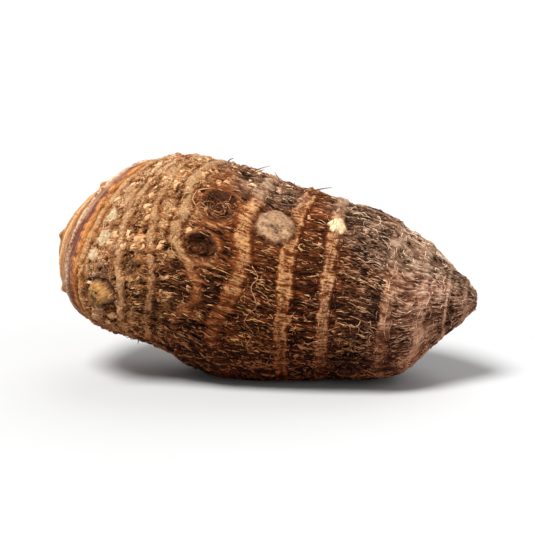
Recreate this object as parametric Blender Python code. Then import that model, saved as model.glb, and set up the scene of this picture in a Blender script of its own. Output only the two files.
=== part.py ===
"""A whole taro corm, lying on its side: one solid body, ringed by leaf scars and set with buds.

Frame: +X runs from the leafy crown to the tail, +Z is up, and the origin lies on the surface that
the corm rests on, under the middle of its box. Lengths are in millimetres until the last step.

The body is drawn on a unit sphere first. A place on it is a polar angle, 0 at the crown and 180
degrees at the tail, and a turn round the axis, 0 towards -Y and 90 degrees upwards.
"""

from math import ceil, cos, pi, radians, sin

import bmesh
import bpy
import numpy as np

MILLIMETRE = 0.001

# Driving dimensions of the body
LENGTH = 166.0
BREADTH_SHARE = 0.98
REST_TILT = radians(7.2)

# The corm's axis stands this high over the surface that it rests on, so the belly sinks in a little
REST_HEIGHT = 37.5
# The skin's relief is worn away on the flat spot and comes back over this height above it
REST_WEAR_HEIGHT = 2.5

# Half the height of the body's sections, before the ends round it off, by polar angle in degrees
SECTION_RADIUS = (
    (0, 45.5),
    (30, 48.5),
    (42, 47.3),
    (53, 43.5),
    (76, 38.8),
    (95, 37.2),
    (115, 37.2),
    (131, 37.8),
    (138, 35.4),
    (146, 29.8),
    (160, 24.0),
    (180, 18.0),
)
# How far each section's middle stands above the axis, by polar angle in degrees
SECTION_RISE = (
    (0, 1.6),
    (30, 2.0),
    (42, 4.4),
    (53, 7.0),
    (65, 8.7),
    (78, 5.9),
    (95, 2.2),
    (118, 1.7),
    (131, -0.3),
    (144, 2.4),
    (158, 4.4),
    (180, 5.7),
)

# The crown looks a little to one side, and its rings lean with it
CROWN_LEAN = radians(26.0)
CROWN_LEAN_TURN = radians(170.0)
CROWN_LEAN_FULL_TO = radians(35.0)
CROWN_LEAN_GONE_AT = radians(105.0)

# Leaf scars: polar angle in degrees and height of the ridge
SCARS = (
    (14.0, 0.5),
    (22.5, 0.6),
    (31.0, 0.6),
    (38.5, 0.7),
    (46.0, 1.0),
    (54.0, 0.8),
    (63.5, 0.5),
    (69.5, 0.5),
    (76.5, 0.9),
    (87.0, 1.0),
    (98.0, 1.0),
    (108.0, 1.0),
    (126.0, 0.9),
    (138.5, 0.9),
    (149.0, 0.7),
    (161.0, 0.45),
)
SCAR_HALF_WIDTH = 1.7
SCAR_WAVES = ((2, 0.5), (3, 0.35), (5, 0.2))
SCAR_PHASE_STEP = 2.4
# Where a scar bends, by its place in the list: turn and width of the bend in degrees, polar shift
SCAR_BENDS = {
    4: ((55.0, 35.0, -3.0), (-15.0, 30.0, 2.0)),
    6: ((60.0, 40.0, -2.0), (-20.0, 25.0, 3.0)),
    7: ((75.0, 45.0, -4.5), (-15.0, 30.0, 2.5)),
    8: ((75.0, 50.0, -5.0), (-8.0, 20.0, 4.5)),
    9: ((15.0, 20.0, 1.0), (-35.0, 25.0, -2.0)),
    15: ((85.0, 40.0, -5.0), (-10.0, 40.0, 4.0)),
}
SKIN_STEP = 0.55
SKIN_STEP_RUN = 7.0

# Buds and bud scars: kind, polar angle and turn in degrees, radius
BUDS = (
    ("eye", 80.0, 17.0, 6.4),
    ("eye", 80.5, 41.0, 7.4),
    ("cut", 93.0, 41.0, 7.4),
    ("nub", 60.5, -18.5, 4.4),
    ("eye", 67.0, -2.0, 4.8),
    ("eye", 100.0, 118.0, 6.0),
    ("nub", 82.0, 138.0, 5.2),
    ("eye", 88.0, 196.0, 6.6),
    ("cut", 118.0, 168.0, 5.6),
    ("eye", 116.0, -50.0, 5.4),
    ("eye", 58.0, 232.0, 5.6),
    ("nub", 138.0, 214.0, 3.8),
)

# The leaf stub at the crown and the dimpled scar at the tail
STUB_RADIUS = 5.5
STUB_HEIGHT = 2.6
TAIL_SCAR_RADIUS = 3.6
TAIL_SCAR_RIM = 0.35
TAIL_SCAR_DEPTH = 0.7

# Broad unevenness: height, waves along the axis, waves round it, phase
SWELLS = ((0.7, 3.0, 2, 0.4), (0.55, 5.0, 3, 2.1), (0.4, 7.0, 5, 4.0))

# The fuller belly that the corm rests on: polar angle and turn in degrees, height, reach
BELLY = (79.0, 270.0, 7.4, 25.0)

# Fineness of the faceted solid
COLUMNS = 44
ROW_SPACING = 5.8
END_ROW_SPACING = 2.3
BUD_REFINING = ((2.0, 1.0), (1.45, 0.5))

# Corners this near to the resting surface are moved onto it when the flat spot is cut
CUT_SNAP = 0.12

SKIN_COLOUR = (0.21, 0.115, 0.055, 1.0)
SKIN_ROUGHNESS = 0.86


def smooth_between(table, x):
    """A smooth curve through the (place, value) pairs of a table, read at x."""
    places, values = np.array(table, float).T
    slopes = np.gradient(values, places)
    k = np.clip(np.searchsorted(places, x, side="right") - 1, 0, len(places) - 2)
    run = places[k + 1] - places[k]
    s = np.clip((x - places[k]) / run, 0.0, 1.0)
    ease = s * s * (3.0 - 2.0 * s)
    start_pull = run * slopes[k] * s * (1.0 - s) ** 2
    end_pull = run * slopes[k + 1] * s * s * (1.0 - s)
    return values[k] * (1.0 - ease) + values[k + 1] * ease + start_pull - end_pull


def smooth_step(s):
    s = np.clip(s, 0.0, 1.0)
    return s * s * (3.0 - 2.0 * s)


def on_sphere(polar, turn):
    """The unit sphere's point at a polar angle and a turn."""
    return np.stack([-np.cos(polar), -np.sin(polar) * np.cos(turn), np.sin(polar) * np.sin(turn)], axis=-1)


def leaning(points):
    """The sphere's points, swung so that the crown looks to one side and the tail stays."""
    polar = np.arccos(np.clip(-points[..., 0], -1.0, 1.0))
    share = (polar - CROWN_LEAN_FULL_TO) / (CROWN_LEAN_GONE_AT - CROWN_LEAN_FULL_TO)
    lean = CROWN_LEAN * (1.0 - smooth_step(share))
    side = on_sphere(pi / 2, CROWN_LEAN_TURN)
    ahead = -points[..., 0]
    aside = points @ side
    swung = np.array(points, float)
    swung += (aside * np.cos(lean) + ahead * np.sin(lean) - aside)[..., None] * side
    swung[..., 0] = aside * np.sin(lean) - ahead * np.cos(lean)
    return swung


def bare_body(points):
    """Where the smooth body's surface is for the sphere's points, and its outward direction."""
    swung = leaning(points)
    polar = np.arccos(np.clip(-swung[..., 0], -1.0, 1.0))
    radius = smooth_between(SECTION_RADIUS, np.degrees(polar))
    rise = smooth_between(SECTION_RISE, np.degrees(polar))
    place = np.stack(
        [
            LENGTH / 2 * swung[..., 0],
            radius * BREADTH_SHARE * swung[..., 1],
            radius * swung[..., 2] + rise,
        ],
        axis=-1,
    )
    outward = swung * np.stack([radius / (LENGTH / 2), np.ones_like(radius), np.ones_like(radius)], axis=-1)
    return place, outward / np.linalg.norm(outward, axis=-1, keepdims=True)


def run_per_radian(polar):
    """Millimetres along the skin for each radian of polar angle."""
    radius = smooth_between(SECTION_RADIUS, np.degrees(polar))
    return np.hypot(LENGTH / 2 * np.sin(polar), radius * np.cos(polar))


def scar_polar(number, turn):
    """The wavering line of one leaf scar: its polar angle at a turn."""
    middle = radians(SCARS[number][0])
    wander = sum(
        height * np.sin(waves * turn + SCAR_PHASE_STEP * number * waves) for waves, height in SCAR_WAVES
    )
    for bend_turn, width, shift in SCAR_BENDS.get(number, ()):
        aside = (np.degrees(turn) - bend_turn + 180.0) % 360.0 - 180.0
        wander = wander + shift * np.exp(-((aside / width) ** 2))
    return middle + sin(middle) ** 2 * np.radians(wander)


def scar_relief(polar, turn):
    """Ridges along the leaf scars, with the skin stepping down on their tail side."""
    relief = np.zeros_like(polar)
    for number, (_, ridge) in enumerate(SCARS):
        beyond = (polar - scar_polar(number, turn)) * run_per_radian(polar)
        relief += ridge * np.exp(-((beyond / (0.65 * SCAR_HALF_WIDTH)) ** 2))
        past = np.maximum(beyond, 0.0)
        relief -= SKIN_STEP * (1.0 - np.exp(-past)) * np.exp(-past / SKIN_STEP_RUN)
    return relief


def bell(x, middle, width):
    return np.exp(-(((x - middle) / width) ** 2))


def eye_relief(share):
    """A bud: a raised rim, a groove inside it and a small pointed dome. Share is 1 at the rim."""
    return 0.9 * bell(share, 1.0, 0.2) - 1.1 * bell(share, 0.68, 0.16) + 1.5 * bell(share, 0.0, 0.34)


def cut_relief(share):
    """A flat disc where a side corm was cut away, with a shallow groove round it."""
    disc = 1.0 - smooth_step((share - 0.86) / 0.22)
    return 1.1 * disc - 0.5 * bell(share, 1.22, 0.14)


def nub_relief(share):
    """A blunt side shoot in a shallow hollow."""
    dome = 1.0 - smooth_step((share - 0.35) / 0.75)
    return 4.2 * dome - 0.9 * bell(share, 1.4, 0.3)


BUD_RELIEF = {"eye": eye_relief, "cut": cut_relief, "nub": nub_relief}


def bud_centre(bud):
    _, polar, turn, _ = bud
    return bare_body(on_sphere(np.array(radians(polar)), np.array(radians(turn))))[0]


def bud_relief(place):
    relief = np.zeros(place.shape[:-1])
    for bud in BUDS:
        share = np.linalg.norm(place - bud_centre(bud), axis=-1) / bud[3]
        relief += BUD_RELIEF[bud[0]](share)
    return relief


def end_relief(place):
    """The leaf stub at the crown, and the rimmed scar at the tail."""
    crown, _ = bare_body(on_sphere(np.array(0.0), np.array(0.0)))
    tail, _ = bare_body(on_sphere(np.array(pi), np.array(0.0)))
    stub = np.linalg.norm(place - crown, axis=-1) / STUB_RADIUS
    scar = np.linalg.norm(place - tail, axis=-1) / TAIL_SCAR_RADIUS
    relief = STUB_HEIGHT * (1.0 - smooth_step((stub - 0.5) / 0.7)) - 0.6 * bell(stub, 0.0, 0.3)
    relief += TAIL_SCAR_RIM * bell(scar, 1.0, 0.3) - TAIL_SCAR_DEPTH * bell(scar, 0.0, 0.55)
    return relief


def swell_relief(polar, turn):
    relief = np.zeros_like(polar)
    for height, along, around, phase in SWELLS:
        relief += height * np.sin(polar) ** 2 * np.sin(along * polar + phase) * np.cos(around * turn + phase)
    return relief


def belly_relief(place):
    polar, turn, height, reach = BELLY
    centre, _ = bare_body(on_sphere(np.array(radians(polar)), np.array(radians(turn))))
    return height * np.exp(-((np.linalg.norm(place - centre, axis=-1) / reach) ** 2))


def laid_down(place):
    """Turns the corm from its own axis to its resting tilt, at its height over z = 0."""
    x = place[..., 0] * cos(REST_TILT) + place[..., 2] * sin(REST_TILT)
    z = place[..., 2] * cos(REST_TILT) - place[..., 0] * sin(REST_TILT) + REST_HEIGHT
    return np.stack([x, place[..., 1], z], axis=-1)


def corm_surface(points):
    """The skin of the corm as it lies, for the sphere's points, in millimetres."""
    polar = np.arccos(np.clip(-points[..., 0], -1.0, 1.0))
    turn = np.arctan2(points[..., 2], -points[..., 1])
    place, outward = bare_body(points)
    relief = scar_relief(polar, turn) + swell_relief(polar, turn) + bud_relief(place) + end_relief(place)
    belly = belly_relief(place)
    above = laid_down(place + belly[..., None] * outward)[..., 2]
    height = belly + relief * smooth_step(above / REST_WEAR_HEIGHT)
    return laid_down(place + height[..., None] * outward)


def row_polars(turns):
    """Polar angles of the mesh rows: three to each leaf scar, along it, and more between."""
    rows = []
    last = np.zeros_like(turns)
    for number in range(len(SCARS) + 1):
        if number < len(SCARS):
            middle = scar_polar(number, turns)
            half = SCAR_HALF_WIDTH / run_per_radian(middle)
            scar_rows = [middle - half, middle, middle + half]
        else:
            scar_rows = [np.full_like(turns, pi)]
        gap = scar_rows[0] - last
        spacing = END_ROW_SPACING if number in (0, len(SCARS)) else ROW_SPACING
        steps = ceil(np.mean(gap * run_per_radian(last + gap / 2)) / spacing)
        rows += [last + gap * step / steps for step in range(1, steps)]
        rows += scar_rows
        last = scar_rows[-1]
    return rows[:-1]


def sphere_mesh():
    """A unit sphere whose rows follow the leaf scars."""
    mesh = bmesh.new()
    turns = np.arange(COLUMNS) * 2 * pi / COLUMNS
    loops = [[mesh.verts.new(p) for p in on_sphere(row, turns)] for row in row_polars(turns)]
    crown = mesh.verts.new((-1.0, 0.0, 0.0))
    tail = mesh.verts.new((1.0, 0.0, 0.0))
    for column in range(COLUMNS):
        beside = (column + 1) % COLUMNS
        mesh.faces.new((crown, loops[0][beside], loops[0][column]))
        mesh.faces.new((tail, loops[-1][column], loops[-1][beside]))
        for near, far in zip(loops, loops[1:]):
            mesh.faces.new((near[column], near[beside], far[beside], far[column]))
    bmesh.ops.recalc_face_normals(mesh, faces=mesh.faces)
    return mesh


def vertex_array(mesh):
    return np.array([vertex.co for vertex in mesh.verts], float)


def refine_round_buds(mesh):
    """Splits the faces on and round each bud, so that its rim and dome have a shape."""
    for reach, margin in BUD_REFINING:
        points = vertex_array(mesh)
        points /= np.linalg.norm(points, axis=1, keepdims=True)
        place, _ = bare_body(points)
        near = np.zeros(len(place), bool)
        for bud in BUDS:
            near |= np.linalg.norm(place - bud_centre(bud), axis=1) < bud[3] * reach + margin
        mesh.verts.index_update()
        edges = [edge for edge in mesh.edges if near[edge.verts[0].index] and near[edge.verts[1].index]]
        bmesh.ops.subdivide_edges(mesh, edges=edges, cuts=1, use_grid_fill=True)


def cut_flat_spot(mesh):
    """Cuts the belly off at z = 0 and closes the cut with one flat face."""
    everything = mesh.verts[:] + mesh.edges[:] + mesh.faces[:]
    bmesh.ops.bisect_plane(
        mesh,
        geom=everything,
        dist=CUT_SNAP * MILLIMETRE,
        plane_co=(0.0, 0.0, 0.0),
        plane_no=(0.0, 0.0, -1.0),
        clear_outer=True,
    )
    rim = [edge for edge in mesh.edges if edge.is_boundary]
    for edge in rim:
        for vertex in edge.verts:
            vertex.co.z = 0.0
    bmesh.ops.contextual_create(mesh, geom=rim)


def skin_material():
    material = bpy.data.materials.new("taro_skin")
    material.use_nodes = True
    shader = material.node_tree.nodes["Principled BSDF"]
    shader.inputs["Base Color"].default_value = SKIN_COLOUR
    shader.inputs["Roughness"].default_value = SKIN_ROUGHNESS
    shader.inputs["Metallic"].default_value = 0.0
    return material


def taro_corm():
    mesh = sphere_mesh()
    refine_round_buds(mesh)
    points = vertex_array(mesh)
    points /= np.linalg.norm(points, axis=1, keepdims=True)
    surface = corm_surface(points)
    surface[:, :2] -= (surface[:, :2].min(axis=0) + surface[:, :2].max(axis=0)) / 2
    for vertex, place in zip(mesh.verts, surface * MILLIMETRE):
        vertex.co = place
    cut_flat_spot(mesh)
    bmesh.ops.triangulate(mesh, faces=mesh.faces)
    bmesh.ops.recalc_face_normals(mesh, faces=mesh.faces)
    data = bpy.data.meshes.new("taro_corm")
    mesh.to_mesh(data)
    mesh.free()
    data.shade_smooth()
    data.set_sharp_from_angle(angle=radians(50.0))
    data.materials.append(skin_material())
    corm = bpy.data.objects.new("taro_corm", data)
    bpy.context.scene.collection.objects.link(corm)
    return corm


def main():
    for old in list(bpy.data.objects):
        bpy.data.objects.remove(old)
    corm = taro_corm()
    size = [round(edge / MILLIMETRE, 1) for edge in corm.dimensions]
    print("taro_corm:", len(corm.data.polygons), "triangles, box in mm", size)


main()
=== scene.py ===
# %% [markdown]
# # Dressing a taro corm
# A taro corm is the swollen foot of the plant's stem. Each old leaf left a ring of scar round it,
# a bud sits here and there on the rings, and the skin is a mat of papery scales and dry root
# fibres. The frame holds the corm as one plain faceted solid. This lesson grows four kinds of
# thing on it: a finely shaped skin, loose scales, several coats of fibres, and their materials.

# %% Load the frame
from itertools import product
from math import cos, pi, radians, sin

import bpy
import numpy as np
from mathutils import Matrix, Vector


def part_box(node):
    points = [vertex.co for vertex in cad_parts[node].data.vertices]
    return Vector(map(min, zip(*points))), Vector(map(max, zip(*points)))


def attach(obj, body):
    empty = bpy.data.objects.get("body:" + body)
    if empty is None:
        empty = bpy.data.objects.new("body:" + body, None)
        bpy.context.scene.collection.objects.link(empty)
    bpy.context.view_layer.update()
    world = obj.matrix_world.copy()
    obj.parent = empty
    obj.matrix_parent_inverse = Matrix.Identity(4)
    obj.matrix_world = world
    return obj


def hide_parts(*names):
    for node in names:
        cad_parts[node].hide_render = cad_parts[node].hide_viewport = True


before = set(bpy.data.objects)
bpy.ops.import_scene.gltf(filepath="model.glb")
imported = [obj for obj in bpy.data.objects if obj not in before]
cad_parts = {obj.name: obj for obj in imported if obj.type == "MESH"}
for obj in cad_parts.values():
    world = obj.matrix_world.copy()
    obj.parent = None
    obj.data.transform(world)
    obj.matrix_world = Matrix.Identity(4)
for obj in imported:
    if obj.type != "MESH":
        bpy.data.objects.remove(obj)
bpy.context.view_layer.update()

cad_low, cad_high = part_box("taro_corm")
MM = 0.001
print("corm box in mm:", [round(edge / MM, 1) for edge in cad_high - cad_low])

# %% [markdown]
# ## The growth rule
# The skin has to follow the solid closely, so it is grown by the same rule. A place on the corm is
# a polar angle, 0 at the crown and 180 degrees at the tail, and a turn round the axis, 0 towards
# the camera and 90 degrees upwards. The rule could be avoided by copying the solid's own mesh, but
# then nothing would know where a scar runs, and fibres could not follow the growth.

# %% The body's sections
LENGTH = 166.0
BREADTH_SHARE = 0.98
REST_TILT = radians(7.2)
REST_HEIGHT = 37.5
REST_WEAR_HEIGHT = 2.5
SECTION_RADIUS = (
    (0, 45.5), (30, 48.5), (42, 47.3), (53, 43.5), (76, 38.8), (95, 37.2),
    (115, 37.2), (131, 37.8), (138, 35.4), (146, 29.8), (160, 24.0), (180, 18.0),
)
SECTION_RISE = (
    (0, 1.6), (30, 2.0), (42, 4.4), (53, 7.0), (65, 8.7), (78, 5.9),
    (95, 2.2), (118, 1.7), (131, -0.3), (144, 2.4), (158, 4.4), (180, 5.7),
)
CROWN_LEAN = radians(26.0)
CROWN_LEAN_TURN = radians(170.0)
CROWN_LEAN_FULL_TO = radians(35.0)
CROWN_LEAN_GONE_AT = radians(105.0)
# The belly's bulge: polar angle, turn, height and reach
BELLY = (79.0, 270.0, 7.4, 25.0)
# Gentle swells: height, waves along and round the corm, phase
SWELLS = ((0.7, 3.0, 2, 0.4), (0.55, 5.0, 3, 2.1), (0.4, 7.0, 5, 4.0))


def smooth_between(table, x):
    """A smooth curve through the (place, value) pairs of a table, read at x."""
    places, values = np.array(table, float).T
    slopes = np.gradient(values, places)
    k = np.clip(np.searchsorted(places, x, side="right") - 1, 0, len(places) - 2)
    run = places[k + 1] - places[k]
    s = np.clip((x - places[k]) / run, 0.0, 1.0)
    ease = s * s * (3.0 - 2.0 * s)
    start_pull = run * slopes[k] * s * (1.0 - s) ** 2
    end_pull = run * slopes[k + 1] * s * s * (1.0 - s)
    return values[k] * (1.0 - ease) + values[k + 1] * ease + start_pull - end_pull


def smooth_step(s):
    s = np.clip(s, 0.0, 1.0)
    return s * s * (3.0 - 2.0 * s)


def rises(x, start, over):
    """0 up to a start, then smoothly up to 1 over the stretch beyond it."""
    return smooth_step((x - start) / over)


def falls(x, start, over):
    """1 up to a start, then smoothly down to 0 over the stretch beyond it."""
    return 1.0 - rises(x, start, over)


def bell(x, middle, width):
    return np.exp(-(((x - middle) / width) ** 2))


def degrees_from(turn, middle):
    """How far a turn lies from a middle one, from -180 to 180 degrees."""
    return (np.degrees(turn) - middle + 180.0) % 360.0 - 180.0


def on_sphere(polar, turn):
    """The unit sphere's point at a polar angle and a turn."""
    across = np.sin(polar)
    return np.stack([-np.cos(polar), -across * np.cos(turn), across * np.sin(turn)], axis=-1)


def leaning(points):
    """The sphere's points, swung so that the crown looks to one side and the tail stays."""
    polar = np.arccos(np.clip(-points[..., 0], -1.0, 1.0))
    share = (polar - CROWN_LEAN_FULL_TO) / (CROWN_LEAN_GONE_AT - CROWN_LEAN_FULL_TO)
    lean = CROWN_LEAN * (1.0 - smooth_step(share))
    side = on_sphere(pi / 2, CROWN_LEAN_TURN)
    ahead = -points[..., 0]
    aside = points @ side
    swung = np.array(points, float)
    swung += (aside * np.cos(lean) + ahead * np.sin(lean) - aside)[..., None] * side
    swung[..., 0] = aside * np.sin(lean) - ahead * np.cos(lean)
    return swung


def bare_body(polar, turn):
    """The smooth body's surface in millimetres, and its outward direction."""
    swung = leaning(on_sphere(polar, turn))
    swung_degrees = np.degrees(np.arccos(np.clip(-swung[..., 0], -1.0, 1.0)))
    radius = smooth_between(SECTION_RADIUS, swung_degrees)
    rise = smooth_between(SECTION_RISE, swung_degrees)
    spread = radius[..., None] * np.array([0.0, BREADTH_SHARE, 1.0])
    spread[..., 0] = LENGTH / 2
    place = swung * spread
    place[..., 2] += rise
    ones = np.ones_like(radius)
    outward = swung * np.stack([radius / (LENGTH / 2), ones, ones], axis=-1)
    return place, outward / np.linalg.norm(outward, axis=-1, keepdims=True)


def run_per_radian(polar):
    """Millimetres along the skin for each radian of polar angle."""
    radius = smooth_between(SECTION_RADIUS, np.degrees(polar))
    return np.hypot(LENGTH / 2 * np.sin(polar), radius * np.cos(polar))


def girth_at(polar):
    """The corm's radius round its axis at a polar angle, in millimetres."""
    return smooth_between(SECTION_RADIUS, np.degrees(polar)) * np.sin(polar)


def turned(place):
    """A place turned from the corm's own axis to its resting tilt, at its height over the surface."""
    x = place[..., 0] * cos(REST_TILT) + place[..., 2] * sin(REST_TILT)
    z = place[..., 2] * cos(REST_TILT) - place[..., 0] * sin(REST_TILT) + REST_HEIGHT
    return np.stack([x, place[..., 1], z], axis=-1)


FINE_POLARS = np.linspace(0.0, pi, 2001)
FINE_STEPS = run_per_radian((FINE_POLARS[1:] + FINE_POLARS[:-1]) / 2)
FINE_RUN = np.concatenate([[0.0], np.cumsum(FINE_STEPS)]) * FINE_POLARS[1]
MERIDIAN = FINE_RUN[-1]
print("millimetres along the skin from crown to tail:", round(MERIDIAN, 1))

# %% [markdown]
# ## Noise of our own
# The skin's unevenness is worked out for each point before the mesh is made, because the same
# numbers shape the skin, place the fibres and later colour both. Blender's texture nodes could not
# be read back for that. Two kinds are enough: soft noise from a lattice of random numbers, and
# cells, which give plates, slabs and pits.

# %% Noise and cells
LATTICE_SIZE = 32
LATTICE = np.random.default_rng(5).random((LATTICE_SIZE,) * 3)
JITTER = np.random.default_rng(6).random((LATTICE_SIZE,) * 3 + (3,))


def soft_noise(p):
    """Smooth noise from -1 to 1, one bump to a unit."""
    cell = np.floor(p).astype(int)
    f = p - cell
    f = f * f * (3.0 - 2.0 * f)
    total = np.zeros(p.shape[:-1])
    for corner in product((0, 1), repeat=3):
        weight = np.prod(np.where(corner, f, 1.0 - f), axis=-1)
        i, j, k = np.moveaxis((cell + corner) % LATTICE_SIZE, -1, 0)
        total += weight * LATTICE[i, j, k]
    return 2.0 * total - 1.0


def mixed_noise(p, waves):
    """Soft noises of several sizes added up; each is given as height, size and offset."""
    return sum(height * soft_noise(p / size + offset) for height, size, offset in waves)


def layered_noise(p, layers=3):
    """Soft noise with finer, weaker noise laid over it."""
    total = np.zeros(p.shape[:-1])
    for layer in range(layers):
        total += soft_noise(p * 2.1**layer + 17.0 * layer) * 0.55**layer
    return total / 1.5


def ridged_noise(p, layers=2):
    """Noise with sharp crests, from 0 in the hollows to 1 on the crests."""
    total = np.zeros(p.shape[:-1])
    for layer in range(layers):
        total += (1.0 - np.abs(soft_noise(p * 2.1**layer + 23.0 * layer)) * 2.0) * 0.5**layer
    return np.clip(total / 1.5, 0.0, 1.0)


def cells(p):
    """Each point's distance to the nearest cell's centre, room to the next cell, and own number."""
    home = np.floor(p).astype(int)
    nearest = np.full(p.shape[:-1], 9.0)
    second = np.full(p.shape[:-1], 9.0)
    number = np.zeros(p.shape[:-1])
    for step in product((-1, 0, 1), repeat=3):
        cell = home + step
        i, j, k = np.moveaxis(cell % LATTICE_SIZE, -1, 0)
        away = np.linalg.norm(cell + JITTER[i, j, k] - p, axis=-1)
        closer = away < nearest
        second = np.where(closer, nearest, np.minimum(second, away))
        number = np.where(closer, LATTICE[i, j, k], number)
        nearest = np.minimum(nearest, away)
    return nearest, second - nearest, number


# %% [markdown]
# ## Leaf scars
# Sixteen rings circle the corm. They are not alike: near the crown they are sharp cream ridges,
# one further on is a smooth band that swerves round a bud, another is doubled with a groove down
# its middle, and the rest are broken strips of pale, flaky skin. One table holds what each is like.

# %% Leaf scars
# Polar angle, height, half-width, groove, share that is broken away, paleness
SCARS = (
    (14.0, 0.5, 0.9, 0.0, 0.2, 0.6), (22.5, 0.6, 0.9, 0.0, 0.3, 0.7), (31.0, 0.6, 0.8, 0.0, 0.4, 0.7),
    (38.5, 0.7, 0.7, 0.0, 0.3, 0.75), (46.0, 1.0, 0.75, 0.0, 0.1, 0.9), (54.0, 0.8, 0.9, 0.0, 0.4, 1.0),
    (63.5, 0.5, 0.9, 0.0, 0.4, 0.85), (69.5, 0.5, 1.0, 0.0, 0.45, 0.8),
    (76.5, 0.9, 1.6, 0.0, 0.05, 0.9), (87.0, 0.9, 2.1, 0.2, 0.25, 1.0), (98.0, 1.0, 2.2, 0.8, 0.2, 1.0),
    (108.0, 0.9, 2.3, 0.45, 0.25, 1.0), (126.0, 0.8, 2.4, 0.1, 0.45, 0.85),
    (138.5, 0.8, 2.1, 0.0, 0.45, 0.9), (149.0, 0.7, 1.0, 0.0, 0.1, 0.9),
    (161.0, 0.45, 0.9, 0.0, 0.3, 0.7),
)
SCAR_WAVES = ((2, 0.5), (3, 0.35), (5, 0.2))
SCAR_PHASE_STEP = 2.4
# Where a scar swerves, by its number in the table above: turn, width and shift in degrees
SCAR_BENDS = {
    4: ((55.0, 35.0, -3.0), (-15.0, 30.0, 2.0)),
    6: ((60.0, 40.0, -2.0), (-20.0, 25.0, 3.0)),
    7: ((75.0, 45.0, -4.5), (-15.0, 30.0, 2.5)),
    8: ((75.0, 50.0, -5.0), (-8.0, 20.0, 4.5), (17.0, 13.0, -2.2)),
    9: ((15.0, 20.0, 1.0), (-35.0, 25.0, -2.0)),
    15: ((85.0, 40.0, -5.0), (-10.0, 40.0, 4.0)),
}
# Where a scar's colour fades away: number in the table above, turn, width and share lost
SCAR_FADES = (
    (8, -55.0, 50.0, 0.85), (9, -50.0, 45.0, 0.7), (10, -75.0, 25.0, 0.4), (11, -60.0, 22.0, 0.5),
)
# Soft noises, each with height, size and offset: ragged edges, fine tears and a crumbly crest
RAGGED_EDGE = ((0.9, 3.2, 0.0), (0.8, 1.3, 9.0))
FINE_TEARS = ((0.5, 1.7, 13.0),)
CRUMBLY_CREST = ((0.4, 1.6, 5.0),)
# How ragged a mere line is, and how much more so a scar is for each mm of its half-width
RAGGED_LINE, RAGGED_PER_MM = 0.15, 0.4
TEAR_HEIGHT, TEAR_SIZE, TEAR_FADE = 0.75, 5.0, 0.6
# The tears' level on a whole scar, and how much it sinks on one that is all broken away
WHOLE_LEVEL, BROKEN_LEVEL = 0.95, 1.5
# A doubled scar's two crests: their place and width as shares of the half-width, and the floor
CREST_AT, CREST_WIDTH, CREST_FLOOR = 0.72, 0.34, 0.25
CREST_LEVEL = 0.85
PALE_FLOOR = 0.35
# Painted shade in the grooves along both edges of the scars: how dark, the polar angle that it
# starts from, its place as a share of the half-width and in mm beyond that, and its width in mm
GROOVE_SHADE = 0.75
GROOVES_FROM = radians(50.0)
GROOVE_AT, GROOVE_BEYOND, GROOVE_WIDTH = 1.25, 0.5, 0.45
SKIN_STEP = 0.55
SKIN_STEP_RUN = 7.0


def scar_polar(number, turn):
    """The wavering line of one leaf scar: its polar angle at a turn."""
    middle = radians(SCARS[number][0])
    wander = sum(
        height * np.sin(waves * turn + SCAR_PHASE_STEP * number * waves) for waves, height in SCAR_WAVES
    )
    for bend_turn, width, shift in SCAR_BENDS.get(number, ()):
        wander = wander + shift * bell(degrees_from(turn, bend_turn), 0.0, width)
    return middle + sin(middle) ** 2 * np.radians(wander)


def scar_faded(number, turn):
    """The share of one scar's colour that is left at a turn."""
    left = np.ones_like(turn)
    for faded, fade_turn, width, lost in SCAR_FADES:
        if faded == number:
            left = left - lost * bell(degrees_from(turn, fade_turn), 0.0, width)
    return left


def scar_shape(polar, turn, grain):
    """Height, paleness and the painted shade of the grooves at their edges, that the scars give to the
    skin.
    """
    height, pale, grooves = (np.zeros_like(polar) for _ in range(3))
    ragged = mixed_noise(grain, RAGGED_EDGE)
    fine_tears = mixed_noise(grain, FINE_TEARS)
    uneven = CREST_LEVEL + mixed_noise(grain, CRUMBLY_CREST)
    per_radian = run_per_radian(polar)
    for number, (_, ridge, half, groove, broken, paleness) in enumerate(SCARS):
        beyond = (polar - scar_polar(number, turn)) * per_radian
        across = beyond + ragged * (RAGGED_LINE + RAGGED_PER_MM * half)
        body = np.exp(-((across / half) ** 4))
        crests = bell(np.abs(across), CREST_AT * half, CREST_WIDTH * half)
        profile = (1.0 - groove) * body + groove * (crests + CREST_FLOOR * body)
        torn = TEAR_HEIGHT * soft_noise(grain / TEAR_SIZE + 31.0 * number) + fine_tears
        whole = rises(torn, BROKEN_LEVEL * broken - WHOLE_LEVEL, TEAR_FADE)
        whole = 1.0 - broken + broken * whole
        height += ridge * profile * whole * uneven
        shown = paleness * scar_faded(number, turn)
        pale = np.maximum(pale, shown * (PALE_FLOOR * body + (1.0 - PALE_FLOOR) * profile) * whole)
        edges = bell(np.abs(across), GROOVE_AT * half + GROOVE_BEYOND, GROOVE_WIDTH)
        grooves = np.maximum(grooves, GROOVE_SHADE * edges * shown * whole * (polar > GROOVES_FROM))
        past = np.maximum(beyond, 0.0)
        height -= SKIN_STEP * (1.0 - np.exp(-past)) * np.exp(-past / SKIN_STEP_RUN)
    return height, pale, grooves


print(len(SCARS), "leaf scars")

# %% [markdown]
# ## Buds, cut scars and nubs
# An "eye" is a resting bud: a rim, a moat and a small dome of folded sheaths. A "cut" is the flat
# disc left where a side corm broke off, a "nub" is a stubby shoot, and a "smudge" is a dark dent.
# Each is a sum of bell curves over the distance from the bud's middle, which can be raised
# anywhere on the skin, with folds and crumbs laid over it.

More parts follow.
